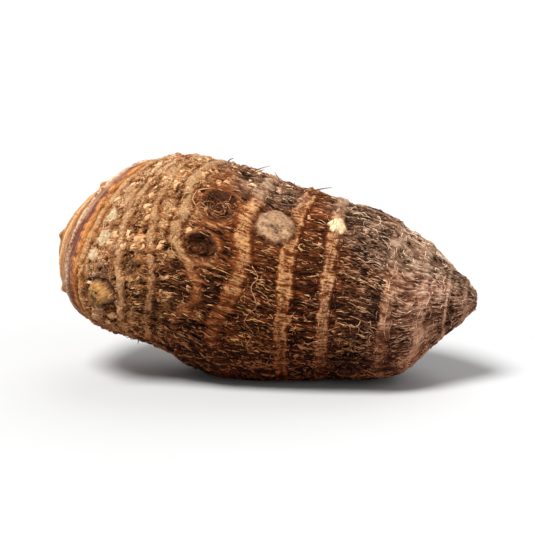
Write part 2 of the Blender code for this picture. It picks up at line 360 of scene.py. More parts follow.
# %% Buds
# Kind, polar angle, turn, radius; a "burst" is an eye whose sheaths have opened into fibres
BUDS = (
    ("eye", 80.0, 17.0, 6.4), ("burst", 80.5, 44.5, 7.4), ("cut", 93.0, 45.0, 7.4),
    ("nub", 60.5, -18.5, 4.4), ("smudge", 67.0, -2.0, 4.8), ("smudge", 60.5, -6.0, 4.6),
    ("burst", 100.0, 118.0, 6.0), ("nub", 82.0, 138.0, 5.2), ("eye", 88.0, 196.0, 6.6),
    ("cut", 118.0, 168.0, 5.6), ("eye", 116.0, -50.0, 5.4), ("eye", 58.0, 232.0, 5.6),
    ("nub", 138.0, 214.0, 3.8),
)
# Small warts on the crown's rings: polar angle, turn, radius, height
WARTS = (
    (38.0, 53.0, 1.5, 1.3), (31.0, 7.0, 1.5, 1.3), (39.0, -36.0, 1.7, 1.5), (55.0, 88.0, 1.4, 1.2),
    (46.0, 130.0, 1.5, 1.2), (33.0, 205.0, 1.6, 1.2), (51.0, 255.0, 1.4, 1.0), (25.0, -80.0, 1.5, 1.2),
)
# Bell curves that make each kind of bud: height in mm, then place and width in radii
EYE_RELIEF = ((0.9, 1.02, 0.17), (2.0, 0.0, 0.34))
BUD_RELIEF = {
    "eye": EYE_RELIEF,
    "burst": EYE_RELIEF,
    "smudge": ((0.4, 1.0, 0.25), (-0.9, 0.0, 0.7)),
    "cut": ((0.35, 0.93, 0.08), (-0.9, 1.14, 0.1)),
    "nub": ((-1.6, 1.38, 0.26),),
}
EYE_DARKNESS = {"eye": 0.66, "burst": 0.5}
BOWL_DEPTH = 2.3
FOLD_HEIGHT, FOLD_WAVES = 0.25, 21.0
# The side of a bud's bowl that lies in shade: towards the crown and upwards
CRESCENT = np.array([-0.6, 0.0, 0.8])
# Soft noises that make the buds' outlines uneven, and the cut discs' more so
BUD_EDGE = ((0.08, 2.4, 0.0), (0.05, 1.1, 0.0))
DISC_EDGE = ((0.05, 1.6, 8.0),)
DISC_CRUMPLE = ((0.25, 2.2, 0.0),)
DISC_HEIGHT, DISC_WRINKLE, DISC_WRINKLE_SIZE = 0.35, 0.35, 2.6
NUB_HEIGHT, NUB_RADII, NUB_FOLD_HEIGHT = 3.9, 1.12, 1.3
NUB_FOLDS = np.array([2.0, 1.7, 1.7])
STUB_RADIUS = 5.5
STUB_HEIGHT = 2.6
STUB_DENT = 0.6
STUB_RINGS = 0.3
TAIL_SCAR_RADIUS = 3.6
TAIL_SCAR_RIM = 0.35
TAIL_SCAR_DEPTH = 0.7
TAIL_SCAR_RINGS = 0.22


def from_point(place, polar_degrees, turn_degrees):
    """The way to each place from a point on the smooth body, and how far it is, in millimetres."""
    point, _ = bare_body(np.array(radians(polar_degrees)), np.array(radians(turn_degrees)))
    return place - point, np.linalg.norm(place - point, axis=-1)


def bud_shape(place, grain):
    """Height of the buds, and masks: dark bud, pale disc, amber nub, pale rim, and rings round each."""
    height, dark, disc, amber, rim = (np.zeros(place.shape[:-1]) for _ in range(5))
    rings = np.full(place.shape[:-1], 9.0)
    edge = mixed_noise(grain, BUD_EDGE)
    for kind, polar_degrees, turn_degrees, radius in BUDS:
        apart, away = from_point(place, polar_degrees, turn_degrees)
        share = away / radius + edge
        rings = np.minimum(rings, share)
        if kind == "cut":
            share = share + mixed_noise(grain, DISC_EDGE)
        height += sum(rise * bell(share, at, width) for rise, at, width in BUD_RELIEF[kind])
        if kind in EYE_DARKNESS:
            bowl = falls(share, 0.5, 0.42)
            height += (FOLD_HEIGHT * np.cos(share * FOLD_WAVES) - BOWL_DEPTH) * bowl
            # Painted shade on the bowl's shaded side, and painted light making the rim paler on its lit
            # side
            shaded = smooth_step(0.35 + (apart @ CRESCENT) / (away + 0.1))
            dark = np.maximum(dark, EYE_DARKNESS[kind] * falls(share, 0.78, 0.2))
            dark = np.maximum(dark, (0.25 + 0.75 * shaded) * bell(share, 0.78, 0.16))
            rim = np.maximum(rim, (0.8 - 0.55 * shaded) * bell(share, 1.1, 0.12))
        elif kind == "smudge":
            dark = np.maximum(dark, 0.5 * falls(share, 0.3, 0.7))
        elif kind == "cut":
            on_disc = falls(share, 0.9, 0.12)
            wrinkles = DISC_WRINKLE * ridged_noise(grain / DISC_WRINKLE_SIZE + 5.0) ** 4
            height += (DISC_HEIGHT + mixed_noise(grain, DISC_CRUMPLE) - wrinkles) * on_disc
            disc = np.maximum(disc, on_disc)
            dark = np.maximum(dark, 0.6 * bell(share, 1.12, 0.1))
        else:
            dome = np.clip(1.0 - (share / NUB_RADII) ** 2, 0.0, 1.0) ** 0.6
            folds = ridged_noise(grain / NUB_FOLDS)
            height += dome * (NUB_HEIGHT + NUB_FOLD_HEIGHT * (folds - 0.6))
            amber = np.maximum(amber, rises(dome, 0.0, 0.35))
            # Painted shade in the nub's fold creases and in the moat round it
            dark = np.maximum(dark, 0.8 * dome * falls(folds, 0.25, 0.3))
            dark = np.maximum(dark, 0.95 * bell(share, 1.42, 0.28))
    for polar_degrees, turn_degrees, radius, rise in WARTS:
        share = from_point(place, polar_degrees, turn_degrees)[1] / radius
        height += rise * bell(share, 0.0, 1.0)
        dark = np.maximum(dark, 0.45 * bell(share, 0.9, 0.5))
    return height, dark, disc, amber, rim, rings


def end_shape(place):
    """The leaf stub at the crown, and the rimmed scar at the tail."""
    stub = from_point(place, 0.0, 0.0)[1] / STUB_RADIUS
    scar = from_point(place, 180.0, 0.0)[1] / TAIL_SCAR_RADIUS
    height = STUB_HEIGHT * falls(stub, 0.5, 0.7) - STUB_DENT * bell(stub, 0.0, 0.3)
    height += TAIL_SCAR_RIM * bell(scar, 1.0, 0.3) - TAIL_SCAR_DEPTH * bell(scar, 0.0, 0.55)
    height += STUB_RINGS * np.cos(stub * 9.0) * bell(stub, 0.6, 0.8)
    height += TAIL_SCAR_RINGS * np.cos(scar * 11.0) * bell(scar, 0.6, 0.6)
    dark = np.maximum(0.7 * bell(scar, 0.0, 0.8), 0.5 * bell(stub, 0.0, 0.7))
    return height, dark


print(len(BUDS), "buds, cut scars and nubs,", len(WARTS), "warts")

# %% [markdown]
# ## The whole skin in one function
# Along the corm the skin changes: smooth bands at the crown, a collar of flat cracked plates with
# small pits, then an ever more fibrous coat towards the tail. `grain` holds each point's place
# with the distance along the skin in X, so that noise squeezed across X looks like long strands.
# `course` is the same on an even cylinder, so that slabs don't narrow towards the tail.

# %% The skin's relief and masks
ZONE_EDGES = {"crown": (49.5, 4.0), "plates": (50.5, 3.0, 73.0, 9.0), "fibres": (70.0, 14.0)}
# The upward share from which the upper side is weathered and painted lighter as lit, towards crown
# and tail, and the height in mm up to which the belly is painted darker as shade
WEATHERED_AND_LIT_FROM = (0.82, 0.48)
BELLY_SHADE_HEIGHT = 44.0
BELLY_SHADE_POWER = 1.15
# The short dark slit in the pale disc: polar angle, turn, half-length, half-width
SLIT = (92.3, 44.0, 1.8, 0.6)
# Bare patches: polar angle, turn, half-length along, half-width across, strength; from 0.9 they are cream
PATCHES = (
    (108.4, 56.0, 3.4, 3.6, 1.0), (57.5, 26.0, 2.6, 2.4, 1.0), (58.5, 14.0, 2.4, 2.8, 0.9),
    (57.0, 4.0, 1.8, 1.8, 1.0), (60.5, 34.0, 2.6, 2.8, 0.6), (87.0, 30.0, 3.4, 6.0, 0.65),
    (107.0, -16.0, 3.6, 3.0, 0.6), (130.0, 34.0, 6.5, 7.0, 0.6), (134.0, 20.0, 5.0, 4.5, 0.6),
    (139.5, 12.0, 3.0, 6.5, 0.88), (133.0, 44.0, 4.0, 4.0, 0.7), (143.0, -20.0, 3.0, 4.0, 0.55),
    (126.5, -16.0, 3.4, 5.0, 0.5), (136.0, 62.0, 9.0, 5.0, 0.6), (150.0, 40.0, 6.0, 5.0, 0.5),
    (100.0, 72.0, 8.0, 4.0, 0.5), (84.0, 70.0, 6.0, 5.0, 0.5), (125.0, 150.0, 4.0, 3.0, 0.9),
    (72.0, 210.0, 3.6, 3.0, 0.9), (104.0, 250.0, 3.2, 3.6, 0.6),
)
CREAM_FROM = 0.9
COURSE_RADIUS = 36.0
# Sizes in mm, along the corm and across it, of plates, pits, weathered slabs, strands, loose skin
PLATE_CELLS = np.array([2.9, 3.3, 3.3])
PIT_CELLS = np.array([1.9, 2.6, 2.6])
SLAB_CELLS = np.array([13.0, 3.6, 3.6])
STRAND_CELLS = np.array([7.0, 2.0, 2.0])
LOOSE_CELLS = np.array([5.0, 2.6, 2.6])
DENT_SIZE, CRUMB_SIZE = 11.0, 2.1
# Heights in mm of each kind of relief
RELIEF = {
    "dent": 0.45, "crumb": 0.12, "plate crumb": 0.16, "plate": 0.5, "plate base": 0.35, "pit": 0.95,
    "slab": 0.8, "slab base": 0.3, "crack": 0.9, "patch": 0.45,
}


def patches(run, girth, turn, grain):
    """Masks of the cream patches and of the weaker, worn ones."""
    patch, worn = np.zeros_like(run), np.zeros_like(run)
    uneven = 0.4 * soft_noise(grain / 2.0 + 3.0)
    frayed = 0.5 * layered_noise(grain / 3.0 + 13.0)
    for patch_polar, patch_turn, half_along, half_across, strength in PATCHES:
        along = (run - np.interp(radians(patch_polar), FINE_POLARS, FINE_RUN)) / half_along
        across = np.radians(degrees_from(turn, patch_turn)) * girth / half_across
        edge = np.hypot(along, across) + uneven
        if strength < CREAM_FROM:
            worn = np.maximum(worn, strength * falls(edge + frayed, 0.7, 0.35))
        else:
            patch = np.maximum(patch, strength * falls(edge, 0.8, 0.25))
    return patch, worn


def skin(polar, turn, fine=True):
    """Place, outward direction and masks of the skin at each polar angle and turn."""
    place, outward = bare_body(polar, turn)
    degrees = np.degrees(polar)
    girth = girth_at(polar)
    run = np.interp(polar, FINE_POLARS, FINE_RUN)
    grain = np.stack([run, girth * np.cos(turn), girth * np.sin(turn)], axis=-1)
    course = np.stack([run, COURSE_RADIUS * np.cos(turn), COURSE_RADIUS * np.sin(turn)], axis=-1)
    belly_polar, belly_turn, belly_height, belly_reach = BELLY
    _, from_belly = from_point(place, belly_polar, belly_turn)
    place = place + (belly_height * bell(from_belly, 0.0, belly_reach))[..., None] * outward
    above = turned(place)[..., 2]
    wear = rises(above, 0.0, REST_WEAR_HEIGHT)
    scar_height, pale, grooves = scar_shape(polar, turn, grain)
    bud_height, dark, disc, amber, rim, rings = bud_shape(place, grain)
    pale = np.maximum(pale, rim)
    end_height, end_dark = end_shape(place)
    height = scar_height + bud_height + end_height
    for swell, along, around, phase in SWELLS:
        height += swell * np.sin(polar) ** 2 * np.sin(along * polar + phase) * np.cos(around * turn + phase)
    if not fine:
        return place + (height * wear)[..., None] * outward, outward, {}

    plates_at, plates_fade, plates_to, plates_out = ZONE_EDGES["plates"]
    wandering = degrees + 1.6 * soft_noise(grain / 9.0)
    crown = falls(wandering, *ZONE_EDGES["crown"])
    plates = rises(wandering, plates_at, plates_fade) * falls(wandering, plates_to, plates_out)
    fibres = rises(wandering, *ZONE_EDGES["fibres"])
    calm = 1.0 - np.maximum.reduce([disc, amber, 0.6 * crown])
    # Real wear and painted light: the upper side is weathered into cracked slabs, and its colour is painted
    # lighter and greyer, as lit from above with a sheen
    near_crown, near_tail = WEATHERED_AND_LIT_FROM
    from_height = near_crown + (near_tail - near_crown) * rises(degrees, 100.0, 25.0)
    weathered_and_lit = rises(np.sin(turn) + 0.2 * soft_noise(grain / 12.0), from_height, 0.3)
    weathered_and_lit *= rises(wandering, 58.0, 30.0) * calm

    _, room, number = cells(grain / PLATE_CELLS)
    plate = rises(room, 0.0, 0.22)
    pit_near, _, pit_number = cells(grain / PIT_CELLS + 40.0)
    pit_share = 0.14 + 0.3 * plates + 0.25 * bell(degrees, 57.0, 4.0)
    pits = falls(pit_near, 0.25, 0.14) * (pit_number < pit_share)
    bent = course + 0.9 * soft_noise(grain / 4.0 + 60.0)[..., None]
    _, slab_room, slab_number = cells(bent / SLAB_CELLS + 80.0)
    cracks = weathered_and_lit * falls(slab_room, 0.05, 0.14)
    strands = ridged_noise(course / STRAND_CELLS)
    crumbs = layered_noise(grain / CRUMB_SIZE)
    dents = soft_noise(grain / DENT_SIZE)

    detail = RELIEF["dent"] * dents + (RELIEF["crumb"] + RELIEF["plate crumb"] * plates) * crumbs * calm
    detail += plates * (RELIEF["plate"] * plate * (0.4 + number) - RELIEF["plate base"])
    detail -= RELIEF["pit"] * pits * calm * (0.35 + 0.65 * plates)
    detail += fibres * calm * (1.0 - 0.6 * weathered_and_lit) * (1.0 - 0.8 * pale) * (strands - 0.45)
    detail += weathered_and_lit * calm * (RELIEF["slab"] * slab_number - RELIEF["slab base"])
    detail -= RELIEF["crack"] * cracks * calm
    flake = plates * plate * rises(number, 0.62, 0.1)
    loose = rises(layered_noise(grain / LOOSE_CELLS + 70.0), 0.42, 0.14)
    flake = np.maximum(flake, 0.6 * calm * loose * (1.0 - crown))
    patch, worn = patches(run, girth, turn, grain)
    detail += RELIEF["patch"] * patch
    pale = np.maximum(pale, worn * (1.0 - 0.6 * fibres * falls(strands, 0.15, 0.4)))

    slit_sizes = np.array([SLIT[2], SLIT[3], SLIT[3]])
    slit = np.linalg.norm(from_point(place, *SLIT[:2])[0] / slit_sizes, axis=-1)
    dark = np.maximum(dark, 0.9 * bell(slit, 0.0, 1.0))
    to_tail = rises(wandering, 118.0, 25.0)
    shift = (0.22 + 0.26 * to_tail + 0.22 * plates) * layered_noise(grain / 6.5 + 50.0) + 0.2 * to_tail
    shift -= 0.2 * falls(np.sin(turn), -0.15, 0.5) * bell(degrees, 68.0, 13.0)
    # Painted shade: sunken relief, pits, slab cracks and the scars' grooves are painted darker
    sunken = RELIEF["dent"] * dents - 0.32 * plates - detail
    hollow = np.clip(sunken / 0.5 - 0.1, 0.0, 1.0)
    hollow = np.maximum.reduce([hollow, pits * (0.5 + 0.5 * plates), cracks, grooves])
    masks = {
        "along": polar / pi,
        "scar": pale * (1.0 - 0.6 * dark),
        "dark": np.maximum(dark, end_dark),
        "disc": disc,
        "amber": amber,
        "flake": np.clip(flake, 0.0, 1.0),
        "plates": plates * calm,
        "rings": rings,
        "patch": patch,
        "hollow": hollow * (1.0 - 0.75 * np.maximum(patch, pale)),
        "fibres": fibres * calm,
        "crown": crown,
        "weathered_and_lit": weathered_and_lit,
        "plate_tone": number,
        "shift": shift * calm,
        "bare": np.maximum.reduce([pale, patch, disc, amber]),
        # Painted shade: darker towards the belly, up to a height above the surface
        "belly": np.clip(1.0 - (above + 2.0) / BELLY_SHADE_HEIGHT, 0.0, 1.0) ** BELLY_SHADE_POWER,
        "grain": grain,
        "course": course,
    }
    return place + ((height + detail) * wear)[..., None] * outward, outward, masks


# %% [markdown]
# ## Laying the corm down
# The rule draws the corm along its own axis. The real one lies tail down on a belly that its own
# weight keeps flat, so each finished point is turned, lowered until the belly sinks a little, and
# held above the surface. The sideways shift is read from the frame.

# %% Lying on the surface
COARSE_STEPS = 160
coarse_polars, coarse_turns = np.meshgrid(
    np.linspace(0.02, pi - 0.02, COARSE_STEPS), np.linspace(0.0, 2 * pi, COARSE_STEPS), indexing="ij"
)
coarse = turned(skin(coarse_polars, coarse_turns, fine=False)[0])
coarse_low, coarse_high = coarse.min(axis=(0, 1)), coarse.max(axis=(0, 1))
SHIFT = np.zeros(3)
SHIFT[:2] = (np.array(cad_low + cad_high)[:2] / MM - (coarse_low + coarse_high)[:2]) / 2


def laid_down(place, clearance=0.0):
    """A place on the resting corm, in millimetres, never below the surface that it lies on."""
    laid = turned(place) + SHIFT
    laid[..., 2] = np.maximum(laid[..., 2], clearance)
    return laid


print("shift onto the surface in mm:", SHIFT.round(2))

# %% [markdown]
# ## The skin mesh
# A sphere primitive is the natural start, since every point of it is already a polar angle and a
# turn. Its rows are moved so that they are evenly spaced along the skin, and then each point goes
# to its place by the growth rule. The masks are kept on the mesh as attributes for the material.

# %% Grow the skin
SKIN_ROWS = 334
SKIN_COLUMNS = 296


def keep_masks(mesh, masks, domain="POINT"):
    """Stores each mask on the mesh as an attribute: numbers as floats, places as vectors."""
    for name, values in masks.items():
        kind, key = ("FLOAT_VECTOR", "vector") if values.ndim == 2 else ("FLOAT", "value")
        attribute = mesh.attributes.new(name, kind, domain)
        attribute.data.foreach_set(key, values.astype(np.float32).ravel())


def at_origin(piece, name):
    piece.name = name
    piece.data.name = name
    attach(piece, "root")
    return piece


bpy.ops.object.select_all(action="DESELECT")
bpy.ops.mesh.primitive_uv_sphere_add(
    segments=SKIN_COLUMNS, ring_count=SKIN_ROWS, radius=1.0, rotation=(0.0, -pi / 2, 0.0)
)
bpy.ops.object.transform_apply(location=False, rotation=True, scale=False)
corm_skin = bpy.context.object
sphere = np.empty(len(corm_skin.data.vertices) * 3)
corm_skin.data.vertices.foreach_get("co", sphere)
sphere = sphere.reshape(-1, 3)
sphere_polar = np.arccos(np.clip(-sphere[:, 0], -1.0, 1.0))
skin_polar = np.interp(sphere_polar / pi * MERIDIAN, FINE_RUN, FINE_POLARS)
skin_turn = np.arctan2(sphere[:, 2], -sphere[:, 1])
skin_place, _, skin_masks = skin(skin_polar, skin_turn)
skin_laid = laid_down(skin_place)
corm_skin.data.vertices.foreach_set("co", (skin_laid * MM).ravel())
keep_masks(corm_skin.data, skin_masks)
bpy.ops.object.mode_set(mode="EDIT")
bpy.ops.mesh.select_all(action="SELECT")
bpy.ops.mesh.normals_make_consistent(inside=False)
bpy.ops.object.mode_set(mode="OBJECT")
bpy.ops.object.shade_smooth()
at_origin(corm_skin, "corm_skin")
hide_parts("taro_corm")
print("skin:", len(corm_skin.data.vertices), "points")

# %% [markdown]
# ## Sowing
# Fibres and scales are sown evenly by area: a place is drawn along the skin, and kept with a
# chance that grows with the girth there and with how thickly that zone is covered.

# %% Sow places on the skin
WIDEST_GIRTH = 44.0
# Walks near the ends go round the corm as if its girth were no less than this
LEAST_GIRTH = 3.0


def sow(count, density, seed):
    """Polar angles and turns of random places; density gives each place's chance from 0 to 1."""
    rng = np.random.default_rng(seed)
    polars, turns = np.empty(0), np.empty(0)
    while len(polars) < count:
        run = rng.random(count) * MERIDIAN
        polar = np.interp(run, FINE_RUN, FINE_POLARS)
        turn = rng.random(count) * 2 * pi
        keep = rng.random(count) < girth_at(polar) / WIDEST_GIRTH * density(polar, turn)
        polars = np.concatenate([polars, polar[keep]])
        turns = np.concatenate([turns, turn[keep]])
    return polars[:count], turns[:count], rng


def walk(polar, turn, ahead, aside):
    """Where a walk over the skin leads: ahead runs towards the tail, aside turns round the corm."""
    run = np.interp(polar, FINE_POLARS, FINE_RUN) + ahead
    run = np.clip(run, 1.0, MERIDIAN - 1.0)
    new_polar = np.interp(run, FINE_RUN, FINE_POLARS)
    return new_polar, turn + aside / np.maximum(girth_at(new_polar), LEAST_GIRTH)


dried_pieces = []


def mesh_from(name, points, triangles, masks):
    """A mesh object from arrays of points in millimetres and triangles."""
    mesh = bpy.data.meshes.new(name)
    mesh.vertices.add(len(points))
    mesh.vertices.foreach_set("co", (points * MM).astype(np.float32).ravel())
    mesh.loops.add(len(triangles) * 3)
    mesh.polygons.add(len(triangles))
    mesh.polygons.foreach_set("loop_start", np.arange(len(triangles)) * 3)
    mesh.loops.foreach_set("vertex_index", triangles.ravel())
    mesh.update(calc_edges=True)
    keep_masks(mesh, masks)
    piece = bpy.data.objects.new(name, mesh)
    bpy.context.scene.collection.objects.link(piece)
    mesh.shade_smooth()
    dried_pieces.append(piece)
    return at_origin(piece, name)


# %% [markdown]
# ## Fibres
# A hair particle system would be the usual tool, but hair vanishes when a model is exported, so
# every fibre is a real three-sided tube, closed at both ends. A coat of fibres is a set of short
# walks over the skin, each with a heading that bends on the way, lifted a little off the skin.

# %% Tubes along paths
FIBRE_SIDES = 3
# What the fibres take over from the skin that they grow on
FIBRE_MASKS = ("along", "belly", "weathered_and_lit", "shift")
# How far over the surface the fibres and scales stay, in mm
FIBRE_CLEARANCE = 0.02


def tubes(name, path, outward, thickness, tone, kept):
    """Closed tubes along paths, one path in each row; thickness and tone hold one value a path."""
    count, steps = path.shape[:2]
    share = np.linspace(0.0, 1.0, steps)
    forward = np.gradient(path, axis=1)
    forward /= np.linalg.norm(forward, axis=2, keepdims=True) + 1e-9
    side = np.cross(forward, outward)
    side /= np.linalg.norm(side, axis=2, keepdims=True) + 1e-9
    up = np.cross(side, forward)
    taper = np.sin(pi * (0.06 + 0.88 * share)) ** 0.6
    radius = thickness[:, None] / 2 * taper
    angles = 2 * pi * np.arange(FIBRE_SIDES) / FIBRE_SIDES
    rim = np.cos(angles)[:, None] * up[:, :, None] + np.sin(angles)[:, None] * side[:, :, None]
    points = path[:, :, None] + radius[..., None, None] * rim
    points = laid_down(points.reshape(-1, 3), clearance=FIBRE_CLEARANCE)

    row = np.arange(steps - 1)[:, None] * FIBRE_SIDES
    here = np.arange(FIBRE_SIDES)
    following = (here + 1) % FIBRE_SIDES
    a, b = row + here, row + following
    c, d = b + FIBRE_SIDES, a + FIBRE_SIDES
    walls = [np.stack(corners, -1).reshape(-1, 3) for corners in ([a, c, b], [a, d, c])]
    last = (steps - 1) * FIBRE_SIDES
    caps = np.array([[0, 1, 2], [last, last + 2, last + 1]])
    pattern = np.concatenate([*walls, caps])
    starts = np.arange(count)[:, None, None] * steps * FIBRE_SIDES
    triangles = (starts + pattern).reshape(-1, 3)

    kept = dict(kept, tone=tone[:, None] + kept["shift"])
    shown = ("along", "tone", "belly", "weathered_and_lit")
    mesh_from(name, points, triangles, {mask: np.repeat(kept[mask].ravel(), FIBRE_SIDES) for mask in shown})
    print(name + ":", count, "fibres,", len(triangles), "triangles")


# How far a fibre sways, in radians, and how many waves it makes on its way
SWAY = 0.5
SWAY_WAVES = (0.6, 1.6)
# Fibres lengthen past this polar angle: where from, over how far, the shares before and after
LENGTHEN_FROM, LENGTHEN_OVER = 104.0, 12.0
SHORT_SHARE, LONGER_BY = 0.85, 0.45
OFF_SKIN = (0.0, 0.2)


def fibre_coat(name, count, steps, density, seed, heading, bend, length, thickness, lift, tone, dive=0.0):
    """A coat of fibres, which dives under the bare places.

    Pairs are ranges; bend and heading are in radians, sizes in millimetres.
    """
    polar, turn, rng = sow(count, density, seed)
    share = np.linspace(0.0, 1.0, steps)

    def draw(low_high):
        return rng.uniform(*low_high, count)[:, None]

    sway = draw((-SWAY, SWAY))
    waves = np.sin(2 * pi * (share * draw(SWAY_WAVES) + draw((0, 1))))
    course = draw(heading) + draw(bend) * (share - 0.5) + sway * waves
    longer = SHORT_SHARE + LONGER_BY * rises(np.degrees(polar[:, None]), LENGTHEN_FROM, LENGTHEN_OVER)
    stride = draw(length) / (steps - 1) * longer
    ahead = np.cumsum(np.cos(course) * stride, axis=1)
    aside = np.cumsum(np.sin(course) * stride, axis=1)
    path_polar, path_turn = walk(polar[:, None], turn[:, None], ahead, aside)
    place, outward, masks = skin(path_polar, path_turn)
    arch = draw(lift) * np.sin(pi * share) ** 0.7 + draw(OFF_SKIN)
    path = place + (arch - dive * masks["bare"])[..., None] * outward
    tubes(name, path, outward, draw(thickness)[:, 0], draw(tone)[:, 0], masks)


# %% [markdown]
# ## Where each coat grows
# A density is the chance, from 0 to 1, that a fibre takes root at a place. Nothing grows on the
# flat discs, the nubs and the bare patches, and few fibres cross a pale scar.

# %% Densities
def bud_clear(polar, turn):
    """0 on the flat discs, nubs, buds and bare patches, where no fibre grows, and 1 elsewhere."""
    place, _ = bare_body(polar, turn)
    clear = np.ones_like(polar)
    for _, polar_degrees, turn_degrees, radius in BUDS:
        _, away = from_point(place, polar_degrees, turn_degrees)
        clear *= rises(away / radius, 1.0, 0.25)
    for polar_degrees, turn_degrees, half_along, half_across, strength in PATCHES:
        _, away = from_point(place, polar_degrees, turn_degrees)
        bared = strength if strength >= CREAM_FROM else 0.5 * strength
        clear *= 1.0 - bared * falls(away / max(half_along, half_across), 0.6, 1.0)
    return clear


# How far beyond a scar its edge still counts, in mm
SCAR_MARGIN = 1.2


def near_scars(polar, turn, spare, from_degrees=50.0):
    """1 on the scars past a polar angle, falling to 0 in the margin past a share of their half-width."""
    near = np.zeros_like(polar)
    for number, (middle, _, half, _, _, paleness) in enumerate(SCARS):
        if middle > from_degrees:
            away = np.abs(polar - scar_polar(number, turn)) * run_per_radian(polar)
            shown = paleness * scar_faded(number, turn)
            near = np.maximum(near, shown * falls(away, half * spare, SCAR_MARGIN))
    return near


def open_skin(polar, turn, kept_off=1.0, spare=0.85):
    """1 where fibres and scales may grow; they are kept off the scars by a share, and off the buds."""
    return (1.0 - kept_off * near_scars(polar, turn, spare)) * bud_clear(polar, turn)


def mat_density(polar, turn):
    """How thickly the matted strands grow: none at the crown, all over from the middle on."""
    degrees = np.degrees(polar)
    low = falls(np.sin(turn), -0.4, 0.6)
    grown = 0.1 * rises(degrees, 55.0, 6.0) + 0.9 * rises(degrees, 66.0 - 9.0 * low, 20.0)
    thin_on_top = 1.0 - 0.8 * rises(np.sin(turn), 0.6, 0.25)
    thin_between = 1.0 - 0.45 * bell(degrees, 103.0, 4.0)
    return grown * thin_on_top * thin_between * open_skin(polar, turn)


def long_density(polar, turn):
    """How thickly the long fibres grow: from the middle on, ever thicker."""
    return rises(np.degrees(polar), 74.0, 24.0) * open_skin(polar, turn, kept_off=0.8)


def low_density(polar, turn):
    """How thickly the curly fibres grow: mostly on the lower half, from the collar on."""
    low = 0.12 + 0.88 * falls(np.sin(turn), -0.5, 0.8)
    return low * rises(np.degrees(polar), 53.0, 14.0) * open_skin(polar, turn, kept_off=0.8)


def fringe_density(polar, turn):
    """How thickly short fibres fringe the scars: along both edges, hardly on the scars themselves."""
    return (near_scars(polar, turn, 1.15) - 0.9 * near_scars(polar, turn, 0.7)) * bud_clear(polar, turn)


# A thin broken line of pale fibres between two scars: polar angle, and the turns that it runs between
FIBRE_LINE = (91.5, -95.0, 16.0)


def ring_density(polar, turn):
    """How thickly the strands that run round the corm grow: along the scars and the fibre line."""
    line_polar, line_from, line_to = FIBRE_LINE
    turn_degrees = degrees_from(turn, 0.0)
    wander = 1.2 * np.sin(turn * 3.0) + 0.6 * np.sin(turn * 11.0)
    away = np.abs(np.degrees(polar) - line_polar - wander)
    on_line = (away < 0.8) * (turn_degrees > line_from) * (turn_degrees < line_to)
    return np.maximum(0.45 * near_scars(polar, turn, 0.6, 60.0), on_line) * bud_clear(polar, turn)


# %% [markdown]
# ## The coats
# The coats go from coarse to fine: a dark mat, a paler mat over it, long and curly fibres, and a
# short fringe along the scars. Last come the strands that run round the corm.

# %% Coats of fibres
fibre_coat(
    "dark_mat", 5000, 5, mat_density, seed=11, heading=(-0.25, 0.2), bend=(-0.35, 0.35),
    length=(2.5, 6.0), thickness=(0.45, 1.0), lift=(-0.1, 0.15), tone=(0.0, 0.4), dive=1.4,
)
fibre_coat(
    "pale_mat", 5600, 5, mat_density, seed=12, heading=(-0.4, 0.3), bend=(-0.8, 0.8),
    length=(1.4, 4.2), thickness=(0.25, 0.6), lift=(-0.1, 0.3), tone=(0.35, 1.05), dive=1.4,
)
fibre_coat(
    "long_fibres", 650, 8, long_density, seed=13, heading=(-0.4, 0.3), bend=(-0.6, 0.6),
    length=(5.0, 11.0), thickness=(0.22, 0.38), lift=(0.1, 0.45), tone=(0.25, 0.95), dive=1.0,
)
fibre_coat(
    "curly_fibres", 2000, 8, low_density, seed=14, heading=(-pi, pi), bend=(-4.0, 4.0),
    length=(1.8, 4.6), thickness=(0.22, 0.4), lift=(0.1, 0.6), tone=(0.45, 1.1), dive=1.0,
)
fibre_coat(
    "scar_fringe", 1300, 4, fringe_density, seed=15, heading=(-1.9, 1.9), bend=(-1.6, 1.6),
    length=(0.9, 2.2), thickness=(0.25, 0.5), lift=(-0.05, 0.25), tone=(0.5, 1.0), dive=0.6,
)
fibre_coat(
    "ring_strands", 300, 7, ring_density, seed=16, heading=(1.4, 1.75), bend=(-0.5, 0.5),
    length=(3.0, 8.0), thickness=(0.3, 0.5), lift=(-0.1, 0.15), tone=(0.55, 0.9),
)

# %% [markdown]
# ## Fibres of the buds, and stray hairs
# Round each eye, a few arched strands trace the rim and many more sweep round inside the bowl. Some
# pale strands are drawn one by one, as the real corm has them. A few stray hairs stand up off the
# back, where the outline shows them.

# %% Bud fibres, pale strands and stray hairs
# Strands of each eye, and the points along each of them and along each stray hair
RIM_STRANDS, BOWL_STRANDS = 5, 90
HAIR_STEPS = 7
# The tones of the strands in a bowl, how far they sweep round it in radians, and the zone whose
# colour the strands of an opened bud have
BOWL_TONES = {"eye": (0.05, 0.6), "burst": (0.05, 0.7)}
BOWL_SWEEP = 1.9
AMBER_ZONE = 0.32


def joined(batches):
    """Batches of strands as one: path, outward direction, thickness, tone and masks of them all."""
    *arrays, masks = zip(*batches)
    kept = {mask: np.concatenate([own[mask] for own in masks]) for mask in FIBRE_MASKS}
    return *map(np.concatenate, arrays), kept


